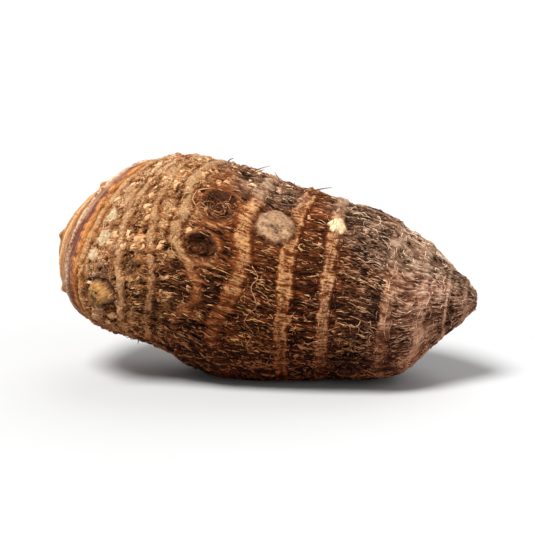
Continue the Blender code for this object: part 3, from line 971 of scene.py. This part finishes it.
def bud_fibres(name, seed):
    """Rim strands and bowl strands of every eye and burst, in one piece."""
    rng = np.random.default_rng(seed)
    share = np.linspace(0.0, 1.0, HAIR_STEPS)
    bowl = slice(RIM_STRANDS, None)
    batches = []
    for kind, polar_degrees, turn_degrees, radius in BUDS:
        if kind not in BOWL_TONES:
            continue
        start = rng.uniform(0, 2 * pi, (RIM_STRANDS + BOWL_STRANDS, 1))
        angle = start + rng.uniform(0.3, 0.8, start.shape) * share
        reach = radius * (rng.uniform(0.94, 1.14, start.shape) + 0.06 * np.sin(angle * 5.0))
        inner = rng.uniform(0.1, 0.75, (BOWL_STRANDS, 1))
        outer = inner + rng.uniform(-0.1, 0.35, (BOWL_STRANDS, 1))
        sweep = rng.uniform(-BOWL_SWEEP, BOWL_SWEEP, (BOWL_STRANDS, 1))
        angle[bowl] = start[bowl] + sweep * share * (1.1 - inner)
        reach[bowl] = radius * (inner + (outer - inner) * share)
        middle = (np.full_like(angle, radians(degrees)) for degrees in (polar_degrees, turn_degrees))
        place, outward, masks = skin(*walk(*middle, reach * np.cos(angle), reach * np.sin(angle)))
        arch = rng.uniform(0.1, 0.6, start.shape) * np.sin(pi * share)
        thickness = rng.uniform(0.25, 0.6, len(start))
        tone = rng.uniform(0.6, 0.95, len(start))
        tone[bowl] = rng.uniform(*BOWL_TONES[kind], BOWL_STRANDS)
        if kind == "burst":
            masks["along"][bowl] = AMBER_ZONE
        batches.append((place + arch[..., None] * outward, outward, thickness, tone, masks))
    tubes(name, *joined(batches))


# Stray hairs: polar angle, turn, length, lean towards the tail, lean round the corm
STRAY_HAIRS = (
    (81.0, 84.0, 7.4, 1.6, 0.1), (81.8, 84.5, 4.0, 1.9, 0.2), (90.2, 86.0, 5.8, -0.8, 0.1),
    (90.7, 87.0, 3.4, 0.3, -0.1), (97.0, 85.0, 6.0, 3.0, 0.2), (98.5, 84.0, 4.2, 2.6, 0.4),
    (111.5, 86.0, 3.8, 2.4, 0.0), (71.0, 95.0, 3.2, 0.9, 0.4), (124.0, 88.0, 3.0, 1.6, 0.3),
    (98.0, 130.0, 5.0, 0.8, 0.6), (88.0, 170.0, 5.0, -0.6, 0.8), (120.0, 190.0, 4.5, 0.9, -0.7),
    (76.0, 220.0, 5.0, 0.7, 0.9), (106.0, 155.0, 5.0, 1.4, -0.4), (91.0, -58.0, 4.5, 0.3, -1.2),
    (66.0, -60.0, 4.0, -0.2, -1.0), (131.0, -40.0, 3.6, 0.9, -0.6), (147.0, 70.0, 2.8, 0.8, 0.2),
)


def stray_hairs(name, seed):
    """The hairs of the table above, each rising from the skin and curling over."""
    rng = np.random.default_rng(seed)
    share = np.linspace(0.0, 1.0, HAIR_STEPS)
    polar, turn, length, to_tail, to_side = np.array(STRAY_HAIRS).T
    polar, turn = np.radians(polar), np.radians(turn)
    place, outward, masks = skin(polar, turn)
    ahead_place, _, _ = skin(polar + 0.02, turn)
    tailward = ahead_place - place
    tailward /= np.linalg.norm(tailward, axis=-1, keepdims=True)
    sideways = np.cross(outward, tailward)
    lean = to_tail[:, None] * tailward + to_side[:, None] * sideways
    rise = outward + 0.5 * lean
    rise /= np.linalg.norm(rise, axis=-1, keepdims=True)
    curl = (share**2)[None, :, None] * (lean * 0.35 - 0.25 * outward)[:, None]
    path = place[:, None] + length[:, None, None] * (share[None, :, None] * rise[:, None] + curl)
    path = path - 0.4 * outward[:, None]
    kept = {mask: masks[mask][:, None] * np.ones((1, HAIR_STEPS)) for mask in FIBRE_MASKS}
    thickness, tone = (rng.uniform(*pair, len(polar)) for pair in ((0.4, 0.6), (0.1, 0.5)))
    tubes(name, path, np.broadcast_to(tailward[:, None], path.shape), thickness, tone, kept)


# Pale strands that stand out: thickness, tone, then the polar angle and turn of each corner
PALE_STRANDS = (
    (0.60, 0.95, ((77.5, 55.0), (75.2, 50.5), (74.4, 46.5), (75.2, 41.5), (77.4, 36.0))),
    (0.45, 0.95, ((74.5, 47.0), (72.9, 43.5), (73.2, 39.0))),
    (0.50, 0.85, ((74.9, 26.0), (74.2, 18.0), (75.2, 9.5), (78.2, 4.5))),
    (0.45, 0.80, ((76.2, 25.0), (75.4, 17.5), (76.4, 10.0), (79.0, 6.0))),
    (0.40, 0.85, ((85.8, 41.5), (86.4, 36.5), (85.0, 32.0))),
    (0.50, 0.95, ((90.4, 17.0), (91.8, 10.5), (90.8, 4.0), (92.4, -4.0), (91.4, -11.0))),
    (0.40, 0.90, ((91.6, -9.0), (90.4, -17.0), (92.2, -25.0), (91.0, -34.0), (92.4, -43.0))),
    (0.38, 0.85, ((90.8, 4.0), (93.0, 3.0), (95.0, 0.5))),
    (0.45, 0.80, ((92.4, -42.0), (91.2, -52.0), (92.6, -61.0), (91.6, -70.0))),
    (0.40, 0.90, ((103.0, -21.0), (104.6, -25.0), (107.4, -22.0), (108.6, -27.0))),
    (0.45, 0.95, ((117.6, -8.0), (118.6, -11.0), (118.0, -15.0))),
    (0.40, 0.95, ((118.5, -10.8), (120.4, -12.2), (122.0, -10.8))),
)
STRAND_STEPS = 12


def pale_strands(name, seed):
    """The strands of the table above, each a smoothly wavering line on the skin."""
    rng = np.random.default_rng(seed)
    share = np.linspace(0.0, 1.0, STRAND_STEPS)
    batches = []
    for thickness, tone, corners in PALE_STRANDS:
        places = np.linspace(0.0, 1.0, len(corners))
        polar, turn = (smooth_between(tuple(zip(places, line)), share) for line in np.array(corners).T)
        polar = polar + rng.uniform(-0.2, 0.2, STRAND_STEPS)
        place, outward, masks = skin(np.radians(polar)[None], np.radians(turn)[None])
        lift = 0.15 + 0.3 * np.sin(pi * share)
        batches.append((place + lift[:, None] * outward, outward, [thickness], [tone], masks))
    tubes(name, *joined(batches))


bud_fibres("bud_fibres", seed=17)
pale_strands("pale_strands", seed=19)
stray_hairs("stray_hairs", seed=18)

# %% [markdown]
# ## Papery scales
# Dry skin lifts in small plates. Each is a thin closed chip with a ragged outline, lying almost
# flat with one edge raised. They crowd the collar of plates and are rare elsewhere.

# %% Scales
SCALE_CORNERS = 8
SCALE_THICKNESS = 0.12
# Ranges that each scale is drawn from: reach in mm, its share at each corner, stretch along the
# corm and tilt
SCALE_REACH, SCALE_UNEVEN = (0.5, 1.9), (0.5, 1.3)
SCALE_STRETCH = (0.6, 1.2)
SCALE_TILT = (0.0, 0.22)


def scale_density(polar, turn):
    """How thickly the scales lie: all over the collar of plates, and a tenth as thickly elsewhere."""
    degrees = np.degrees(polar)
    collar = rises(degrees, 54.5, 3.0) * falls(degrees, 74.0, 14.0)
    return (0.1 + 0.9 * collar) * rises(degrees, 54.0, 4.0) * open_skin(polar, turn, spare=0.9)


def papery_scales(name, count, seed):
    """Thin closed chips, each a fan of triangles above and below with a wall round its edge."""
    polar, turn, rng = sow(count, scale_density, seed)
    spokes = 2 * pi * np.arange(SCALE_CORNERS) / SCALE_CORNERS
    middle = np.zeros((count, 1))
    reach = rng.uniform(*SCALE_REACH, (count, 1)) * rng.uniform(*SCALE_UNEVEN, (count, SCALE_CORNERS))
    stretch = rng.uniform(*SCALE_STRETCH, (count, 1))
    ahead = np.concatenate([middle, reach * stretch * np.cos(spokes)], axis=1)
    aside = np.concatenate([middle, reach * np.sin(spokes)], axis=1)
    place, outward, masks = skin(*walk(polar[:, None], turn[:, None], ahead, aside))
    raised_side = rng.uniform(0, 2 * pi, (count, 1))
    tilt = rng.uniform(*SCALE_TILT, (count, 1))
    raised = tilt * (ahead * np.cos(raised_side) + aside * np.sin(raised_side))
    raised = raised + rng.uniform(-0.12, 0.1, (count, 1))
    raised[:, 1:] += rng.uniform(-0.1, 0.08, (count, SCALE_CORNERS))
    faces = [place + (raised + thick)[..., None] * outward for thick in (SCALE_THICKNESS, 0.0)]
    points = laid_down(np.concatenate(faces, axis=1).reshape(-1, 3), clearance=FIBRE_CLEARANCE)

    corner = np.arange(SCALE_CORNERS) + 1
    beside = corner % SCALE_CORNERS + 1
    below = SCALE_CORNERS + 1
    zero = np.zeros_like(corner)
    fans = (
        (zero, beside, corner),
        (zero + below, corner + below, beside + below),
        (corner, beside, beside + below),
        (corner, beside + below, corner + below),
    )
    pattern = np.concatenate([np.stack(fan, -1) for fan in fans])
    triangles = (np.arange(count)[:, None, None] * 2 * below + pattern).reshape(-1, 3)
    shown = ("along", "belly", "weathered_and_lit")
    kept = {mask: np.concatenate([masks[mask]] * 2, axis=1).ravel() for mask in shown}
    kept["tone"] = np.repeat(rng.uniform(0.35, 0.95, count), 2 * below)
    mesh_from(name, points, triangles, kept)
    print(name + ":", count, "scales,", len(triangles), "triangles")


papery_scales("papery_scales", 620, seed=21)

# %% [markdown]
# ## Colours
# Colours are given as a painter would name them, from the real skin, and turned into the
# linear values that shaders use.

# %% Colour helpers
def linear(code, share=1.0):
    """A share of a colour that is written as six hex digits, as a linear colour with full opacity."""
    channels = [int(code[k : k + 2], 16) / 255 for k in (0, 2, 4)]
    return [share * (c / 12.92 if c <= 0.04045 else ((c + 0.055) / 1.055) ** 2.4) for c in channels] + [1.0]


# Share of the way from crown to tail, and the tissue's colour there: in shade, bare and dry
DARK_TISSUE = (
    (0.00, "5c361f"), (0.25, "5f341d"), (0.27, "41221a"), (0.285, "6f3d18"), (0.31, "522a14"),
    (0.38, "3a1807"), (0.45, "260d03"), (0.52, "1b0902"), (0.66, "190a04"), (0.76, "311a10"),
    (0.86, "2e1a11"), (1.00, "28150e"),
)
BARE_TISSUE = (
    (0.00, "ad7748"), (0.15, "a0683e"), (0.22, "b67a48"), (0.248, "8a5540"), (0.272, "6e4034"),
    (0.284, "c67a3a"), (0.297, "cb7f42"), (0.31, "cb8a58"), (0.38, "b47544"), (0.43, "91522c"),
    (0.48, "7a3d18"), (0.56, "703513"), (0.66, "734024"), (0.76, "a06e52"), (0.86, "9b6a50"),
    (1.00, "8a5f49"),
)
DRY_TISSUE = (
    (0.00, "e6bd8e"), (0.22, "ecc896"), (0.25, "f2d8b0"), (0.27, "cf9f7d"), (0.29, "efb478"),
    (0.315, "f2ca9e"), (0.38, "eaba88"), (0.45, "deae78"), (0.52, "d8a46e"), (0.66, "dcae84"),
    (0.76, "f2ccb0"), (0.86, "eac4a8"), (1.00, "d8b096"),
)
# Tissue of the weathered upper side, painted paler and greyer as lit from above
WEATHERED_AND_LIT_TISSUE = ((0.0, "3c261a"), (0.5, "ba9070"), (1.0, "f2d8be"))
# The colours above are those seen in full light; the tissues reflect these shares of them
REFLECTED = {"dark": 0.42, "bare": 0.9, "dry": 1.0, "weathered_and_lit": 1.0}


def node(tree, kind, inputs=None, **settings):
    """Adds a node, sets its settings, and sets or links its inputs by name or number."""
    made = tree.nodes.new(kind)
    for name, value in settings.items():
        setattr(made, name, value)
    for name, value in (inputs or {}).items():
        if isinstance(value, bpy.types.NodeSocket):
            tree.links.new(value, made.inputs[name])
        else:
            made.inputs[name].default_value = value
    return made


def mix(tree, factor, below, above, blend="MIX"):
    """Lays one colour over another by a factor."""
    made = node(tree, "ShaderNodeMix", {0: factor, 6: below, 7: above}, data_type="RGBA", blend_type=blend)
    return made.outputs[2]


def blend(tree, factor, below, above):
    """Goes from one value to another by a factor."""
    made = node(tree, "ShaderNodeMix", {0: factor, 2: below, 3: above}, data_type="FLOAT")
    return made.outputs[0]


def maths(tree, operation, first, second=0.0, clamp=False):
    """One sum of two values, or a function of the first."""
    made = node(tree, "ShaderNodeMath", {0: first, 1: second}, operation=operation, use_clamp=clamp)
    return made.outputs[0]


def between(tree, value, low, high, out_low=0.0, out_high=1.0):
    """Rescales a value from one range to another and stops at the ends."""
    inputs = {"Value": value, "From Min": low, "From Max": high, "To Min": out_low, "To Max": out_high}
    return node(tree, "ShaderNodeMapRange", inputs).outputs[0]


def times(tree, first, second):
    return maths(tree, "MULTIPLY", first, second)


def plus(tree, first, second, clamp=False):
    return maths(tree, "ADD", first, second, clamp)


def attribute(tree, name, output="Fac"):
    return node(tree, "ShaderNodeAttribute", attribute_name=name).outputs[output]


def tones(tree, factor, stops, share=1.0):
    """A colour ramp with the given (place, colour) stops."""
    ramp = node(tree, "ShaderNodeValToRGB", {"Fac": factor})
    for place, _ in stops[1:-1]:
        ramp.color_ramp.elements.new(place)
    for element, (place, code) in zip(ramp.color_ramp.elements, stops):
        element.position = place
        element.color = linear(code, share)
    return ramp.outputs["Color"]


# %% [markdown]
# ## Node groups for what the materials share
# Each effect that is used again and again is a node group with named inputs and outputs. The two
# patterns read a place in units of their size, and are drawn out along the corm by their stretch.

# %% Group helpers
def new_group(name, inputs, outputs):
    """A node group with sockets given as name and kind, and its inputs as they are seen inside."""
    group = bpy.data.node_groups.new(name, "ShaderNodeTree")
    for way, sockets in (("INPUT", inputs), ("OUTPUT", outputs)):
        for socket, kind in sockets.items():
            group.interface.new_socket(socket, in_out=way, socket_type="NodeSocket" + kind)
    return group, node(group, "NodeGroupInput").outputs


def squeezed(group, place, size, stretch):
    """A place in units of a size, and along X in units that are longer by the stretch."""
    parts = node(group, "ShaderNodeSeparateXYZ", {0: place}).outputs
    sizes = (times(group, size, stretch), size, size)
    shares = {axis: maths(group, "DIVIDE", parts[axis], sizes[axis]) for axis in range(3)}
    return node(group, "ShaderNodeCombineXYZ", shares).outputs[0]


def use(tree, group, inputs):
    """Adds a node group, sets or links its inputs, and gives its outputs."""
    return node(tree, "ShaderNodeGroup", inputs, node_tree=group).outputs[:]


PATTERN_INPUTS = {"Place": "Vector", "Size": "Float", "Stretch": "Float"}

# %% [markdown]
# ## Dry streaks, one effect for all
# Skin, fibres and scales are all the same dried tissue: streaked lengthwise, lighter and darker by
# turns. The group puts out a tone for colour and a height for bump.

# %% The dry streaks group
STREAK_DETAIL, STREAK_ROUGHNESS = 4.0, 0.62


def dry_streaks_group():
    group, inputs = new_group("dry streaks", PATTERN_INPUTS, {"Tone": "Float", "Height": "Float"})
    noise = {"Scale": 1.0, "Detail": STREAK_DETAIL, "Roughness": STREAK_ROUGHNESS}
    noise["Vector"] = squeezed(group, inputs["Place"], inputs["Size"], inputs["Stretch"])
    streak = node(group, "ShaderNodeTexNoise", noise).outputs[0]
    node(group, "NodeGroupOutput", {"Tone": between(group, streak, 0.32, 0.68), "Height": streak})
    return group


dry_streaks = dry_streaks_group()


def streaks(tree, place, size, stretch):
    """The tone and the height of dry streaks of a size in millimetres."""
    return use(tree, dry_streaks, {"Place": place, "Size": size, "Stretch": stretch})


# %% [markdown]
# ## Cracked plates
# The collar and the weathered back are cracked into plates that are finer than the mesh can carry.
# A cell pattern, bent a little by noise, gives their cracks, and each plate a tone of its own.

# %% The cracked plates group
CRACK_BEND = (2.2, 2.2, 2.2)
CRACK_WIDTH = 0.16


def cracked_plates_group():
    group, inputs = new_group("cracked plates", PATTERN_INPUTS, {"Plate": "Float", "Tone": "Float"})
    noise = {"Vector": inputs["Place"], "Scale": 0.7, "Detail": 2.0}
    bend = node(group, "ShaderNodeTexNoise", noise).outputs["Color"]
    bending = {0: bend, 1: CRACK_BEND, 2: inputs["Place"]}
    bent = node(group, "ShaderNodeVectorMath", bending, operation="MULTIPLY_ADD").outputs[0]
    place = squeezed(group, bent, inputs["Size"], inputs["Stretch"])
    edges = node(group, "ShaderNodeTexVoronoi", {"Vector": place}, feature="DISTANCE_TO_EDGE")
    own = node(group, "ShaderNodeTexVoronoi", {"Vector": place}, feature="F1")
    tone = node(group, "ShaderNodeSeparateColor", {0: own.outputs["Color"]}).outputs[0]
    plate = between(group, edges.outputs["Distance"], 0.0, CRACK_WIDTH)
    node(group, "NodeGroupOutput", {"Plate": plate, "Tone": tone})
    return group


cracked_plates = cracked_plates_group()


def plates(tree, place, size, stretch):
    """The plates, 0 in the cracks between them, and their tones, at a size in millimetres."""
    return use(tree, cracked_plates, {"Place": place, "Size": size, "Stretch": stretch})


# %% [markdown]
# ## Taro tissue, one colour for all
# The third group turns a tone from 0 to 1 into a colour: dark, bare or dry tissue of the zone, with
# the upper side weathered and painted lighter as lit, and painted darker towards the belly as shade.
# Skin, fibres and scales share it, so a strand always belongs to the skin that it grows from.

# %% The tissue group
# Real wear and painted light: the share of the upper side's paler, greyer colour
WEATHERED_AND_LIT_SHARE = 0.6
# Painted shade: how much deeper and darker, browner the belly is painted
BELLY_GAMMA = 1.4
BELLY_SHADE_COLOUR = "be9880"


def tissue_group():
    sockets = {name: "Float" for name in ("Along", "Tone", "Weathered_and_lit", "Belly")}
    group, inputs = new_group("taro tissue", sockets, {"Colour": "Color"})
    along, tone, belly = inputs["Along"], inputs["Tone"], inputs["Belly"]
    dark, bare, dry, old = (
        tones(group, factor, stops, REFLECTED[state])
        for state, factor, stops in (
            ("dark", along, DARK_TISSUE),
            ("bare", along, BARE_TISSUE),
            ("dry", along, DRY_TISSUE),
            ("weathered_and_lit", tone, WEATHERED_AND_LIT_TISSUE),
        )
    )
    colour = mix(group, between(group, tone, 0.0, 0.5), dark, bare)
    colour = mix(group, between(group, tone, 0.5, 1.0), colour, dry)
    # Painted light: the weathered upper side is painted paler and greyer
    colour = mix(group, times(group, inputs["Weathered_and_lit"], WEATHERED_AND_LIT_SHARE), colour, old)
    # Painted shade: the colour is deepened and darkened towards the belly
    deeper = between(group, belly, 0.0, 1.0, 1.0, BELLY_GAMMA)
    colour = node(group, "ShaderNodeGamma", {"Color": colour, "Gamma": deeper}).outputs[0]
    colour = mix(group, belly, colour, linear(BELLY_SHADE_COLOUR), "MULTIPLY")
    node(group, "NodeGroupOutput", {"Colour": colour})
    return group


taro_tissue = tissue_group()


def tissue(tree, along, tone):
    """The tissue's colour for a tone, with the other inputs read from the mesh."""
    inputs = {"Along": along, "Tone": tone}
    inputs.update({name: attribute(tree, name.lower()) for name in ("Weathered_and_lit", "Belly")})
    return use(tree, taro_tissue, inputs)[0]


def new_material(name, shine):
    """A material, its nodes and its shader, which hardly shines."""
    material = bpy.data.materials.new(name)
    material.use_nodes = True
    shader = material.node_tree.nodes["Principled BSDF"]
    shader.inputs["Specular IOR Level"].default_value = shine
    return material, material.node_tree, shader


def roughen(tree, shader, height, strength, depth):
    """Gives a shader a bump by a height, up to a depth in millimetres."""
    bump = node(tree, "ShaderNodeBump", {"Height": height, "Strength": strength, "Distance": depth * MM})
    tree.links.new(bump.outputs[0], shader.inputs["Normal"])


# %% [markdown]
# ## The skin's material
# Streaks, crumbs and masks first make one tone: low in the hollows, as painted shade, high on scars and
# flakes. The tissue group colours it. Over that lie the few places with a colour of their own: cut
# discs, amber nubs, cream patches and dark buds, whose dark holds painted shade too. What happens
# where is read from the masks on the mesh.

# %% Skin material
SKIN_MASKS = (
    "along", "crown", "plates", "fibres", "weathered_and_lit", "flake", "plate_tone", "shift", "scar", "hollow",
    "rings", "disc", "amber", "patch", "dark",
)
RING_WAVES, RING_WANDER = 24.0, 2.4
# Height of the bump in mm, and the shares that cracks, splits and growth rings add to it
SKIN_BUMP = 0.45
CRACK_BUMP, SPLIT_BUMP, RING_BUMP = 1.1, 0.5, 0.12
# Colours from low to high tone of the places that don't look like the tissue round them
OWN_COLOURS = {
    "disc": ("4f3423", "bd9672"),
    "amber": ("36190a", "c48f54"),
    "patch": ("d89f5e", "ffe8c0"),
    # The buds' dark, which also holds painted shade on the bowls' shaded side and round the nubs
    "dark": ("0e0603", "5a3a28"),
}


def skin_material():
    material, tree, shader = new_material("corm skin", 0.06)
    mask = {name: attribute(tree, name) for name in SKIN_MASKS}
    grain, course = (attribute(tree, name, "Vector") for name in ("grain", "course"))
    fine_tone, fine_height = streaks(tree, course, 0.7, 6.0)
    crumb_tone, crumb_height = streaks(tree, grain, 0.8, 1.0)
    broad_tone, wide_tone, band_tone = (
        streaks(tree, grain, size, stretch)[0] for size, stretch in ((2.6, 1.6), (6.0, 1.0), (30.0, 0.03))
    )
    plate, plate_tone = plates(tree, grain, 2.6, 1.1)
    slab, slab_tone = plates(tree, course, 1.5, 6.0)

    along = plus(tree, mask["along"], between(tree, broad_tone, 0.0, 1.0, -0.01, 0.01))
    crumbly = blend(tree, 0.45, crumb_tone, broad_tone)
    plated = blend(tree, 0.4, blend(tree, 0.55, crumb_tone, plate_tone), wide_tone)
    plated = between(tree, plated, 0.24, 0.62, 0.26, 1.0)
    plated = blend(tree, plate, between(tree, crumb_tone, 0.0, 1.0, 0.0, 0.35), plated)
    crown_tone = blend(tree, 0.7, crumbly, between(tree, band_tone, 0.0, 1.0, 0.2, 0.9))
    heart = between(tree, mask["along"], 0.1, 0.23, 0.85, 0.05)
    crown_tone = blend(tree, heart, crown_tone, between(tree, broad_tone, 0.0, 1.0, 0.05, 0.6))
    slabs = between(tree, blend(tree, 0.45, fine_tone, slab_tone), 0.28, 0.72, 0.15, 1.0)
    slabs = blend(tree, slab, 0.0, slabs)
    fibrous = blend(tree, 0.25, between(tree, fine_tone, 0.25, 1.0, 0.0, 0.75), broad_tone)
    fibrous = blend(tree, mask["weathered_and_lit"], fibrous, slabs)
    flake = times(tree, mask["flake"], between(tree, crumb_tone, 0.1, 0.6, 0.3, 0.8))
    flaky = between(tree, mask["plate_tone"], 0.5, 1.0, 0.6, 1.0)
    tone = crumbly
    for cover, look in (
        (mask["crown"], crown_tone), (mask["plates"], plated), (mask["fibres"], fibrous), (flake, flaky),
    ):
        tone = blend(tree, cover, tone, look)
    tone = plus(tree, tone, mask["shift"], clamp=True)
    scar_grain = blend(tree, times(tree, mask["fibres"], 0.5), crumb_tone, fine_tone)
    whole = times(tree, mask["plates"], 0.7)
    cover = blend(tree, whole, between(tree, scar_grain, 0.15, 0.55, 0.2, 1.0), 1.0)
    scar_tone = between(tree, blend(tree, 0.4, scar_grain, wide_tone), 0.1, 0.9, 0.62, 1.0)
    tone = blend(tree, times(tree, mask["scar"], cover), tone, blend(tree, whole, scar_tone, 1.0))
    # Painted shade: the hollows are darkened to the lowest tone
    colour = tissue(tree, along, blend(tree, mask["hollow"], tone, 0.0))

    ring_turns = plus(tree, times(tree, mask["rings"], RING_WAVES), times(tree, crumb_tone, RING_WANDER))
    ring_tone = between(tree, maths(tree, "SINE", ring_turns), -1.0, 1.0)
    disc_tone = between(tree, blend(tree, 0.55, crumb_tone, broad_tone), 0.2, 0.8)
    own_tones = {
        "disc": blend(tree, 0.14, disc_tone, ring_tone),
        "amber": between(tree, blend(tree, 0.5, broad_tone, crumb_tone), 0.2, 0.75),
        "patch": between(tree, crumb_tone, 0.0, 0.8),
        "dark": blend(tree, 0.45, crumb_tone, ring_tone),
    }
    for name, (low, high) in OWN_COLOURS.items():
        own = mix(tree, own_tones[name], linear(low), linear(high))
        colour = mix(tree, mask[name], colour, own)
    tree.links.new(colour, shader.inputs["Base Color"])
    tree.links.new(between(tree, crumb_tone, 0.0, 1.0, 0.6, 0.9), shader.inputs["Roughness"])

    height = plus(tree, times(tree, fine_height, mask["fibres"]), crumb_height)
    near_buds = between(tree, mask["rings"], 1.0, 0.9, 0.0, RING_BUMP)
    for part in (
        times(tree, times(tree, plate, mask["plates"]), CRACK_BUMP),
        times(tree, times(tree, slab, mask["weathered_and_lit"]), SPLIT_BUMP),
        times(tree, ring_tone, near_buds),
    ):
        height = plus(tree, height, part)
    roughen(tree, shader, height, 1.0, SKIN_BUMP)
    return material


corm_skin.data.materials.clear()
corm_skin.data.materials.append(skin_material())

# %% [markdown]
# ## The fibres' and the scales' materials
# Each fibre and scale carries its own tone. Fine streaks of lighter and darker tissue keep a long
# strand from looking like one coloured wire.

# %% Fibre and scale materials
def dried_material(name, roughness, streak_size):
    material, tree, shader = new_material(name, 0.1)
    place = node(tree, "ShaderNodeTexCoord").outputs["Object"]
    in_mm = node(tree, "ShaderNodeVectorMath", {0: place, "Scale": 1.0 / MM}, operation="SCALE").outputs[0]
    streak, height = streaks(tree, in_mm, streak_size, 2.0)
    tone = plus(tree, attribute(tree, "tone"), between(tree, streak, 0.0, 1.0, -0.34, 0.24), clamp=True)
    tree.links.new(tissue(tree, attribute(tree, "along"), tone), shader.inputs["Base Color"])
    shader.inputs["Roughness"].default_value = roughness
    roughen(tree, shader, height, 0.5, 0.2)
    return material


fibre_material = dried_material("dry fibre", 0.6, 0.9)
scale_material = dried_material("papery scale", 0.75, 0.7)
for piece in dried_pieces:
    piece.data.materials.append(scale_material if piece.name == "papery_scales" else fibre_material)

# %% [markdown]
# ## Floor
# A pale floor runs so far back that its edge is never in the picture.

# %% Floor
FLOOR_SIZE = 12.0
bpy.ops.object.select_all(action="DESELECT")
bpy.ops.mesh.primitive_plane_add(size=FLOOR_SIZE, location=(0.0, 0.0, 0.0))
floor = bpy.context.object
floor.name = "floor"
floor_material = bpy.data.materials.new("pale floor")
floor_material.use_nodes = True
floor_shader = floor_material.node_tree.nodes["Principled BSDF"]
floor_shader.inputs["Base Color"].default_value = linear("bdbdbd")
floor_shader.inputs["Roughness"].default_value = 0.9
floor.data.materials.append(floor_material)

# %% [markdown]
# ## Lights
# The sky is white. A strong soft sun stands at the upper left in front, a weak one behind and one
# at the low right. Suns are used rather than lamps, because they light the whole floor alike.

# %% Lights
WHITE = (1.0, 1.0, 1.0)
SKY_STRENGTH = 0.25


def sun_light(name, toward, power, softness):
    """A sun seen in a given direction; softness is its width in the sky in radians."""
    light = bpy.data.lights.new(name, "SUN")
    light.angle = softness
    light.energy = power
    light.color = WHITE
    lamp = bpy.data.objects.new(name, light)
    bpy.context.scene.collection.objects.link(lamp)
    lamp.rotation_euler = Vector(toward).to_track_quat("Z", "Y").to_euler()


sun_light("key light", (-0.34, -0.46, 1.0), 4.9, 0.42)
sun_light("back light", (0.25, 0.6, 0.8), 1.2, 1.0)
sun_light("side light", (0.85, -0.5, 0.35), 0.9, 1.2)
world = bpy.data.worlds.new("studio")
bpy.context.scene.world = world
world.use_nodes = True
sky = world.node_tree.nodes["Background"]
sky.inputs["Color"].default_value = (*WHITE, 1.0)
sky.inputs["Strength"].default_value = SKY_STRENGTH
bpy.context.scene.view_settings.view_transform = "Standard"

# %% [markdown]
# ## Camera
# A long lens looks on from the side and a little above, as in a product photograph. It is set so
# that the corm takes up a fixed share of the picture's width.

# %% Camera
CAMERA_AZIMUTH = radians(6.5)
CAMERA_ELEVATION = radians(13.0)
CAMERA_DISTANCE = 0.95
CORM_SHARE_OF_FRAME = 0.78
SENSOR = 36.0
middle = (cad_low + cad_high) / 2
level = cos(CAMERA_ELEVATION)
toward_camera = Vector(
    (sin(CAMERA_AZIMUTH) * level, -cos(CAMERA_AZIMUTH) * level, sin(CAMERA_ELEVATION))
)
camera = bpy.data.objects.new("camera", bpy.data.cameras.new("camera"))
bpy.context.scene.collection.objects.link(camera)
camera.location = middle + toward_camera * CAMERA_DISTANCE
camera.rotation_euler = toward_camera.to_track_quat("Z", "Y").to_euler()
camera.data.sensor_width = SENSOR
seen_width = (cad_high.x - cad_low.x) * cos(CAMERA_AZIMUTH) / CORM_SHARE_OF_FRAME
camera.data.lens = SENSOR * CAMERA_DISTANCE / seen_width
bpy.context.scene.camera = camera
print("lens in mm:", round(camera.data.lens, 1))
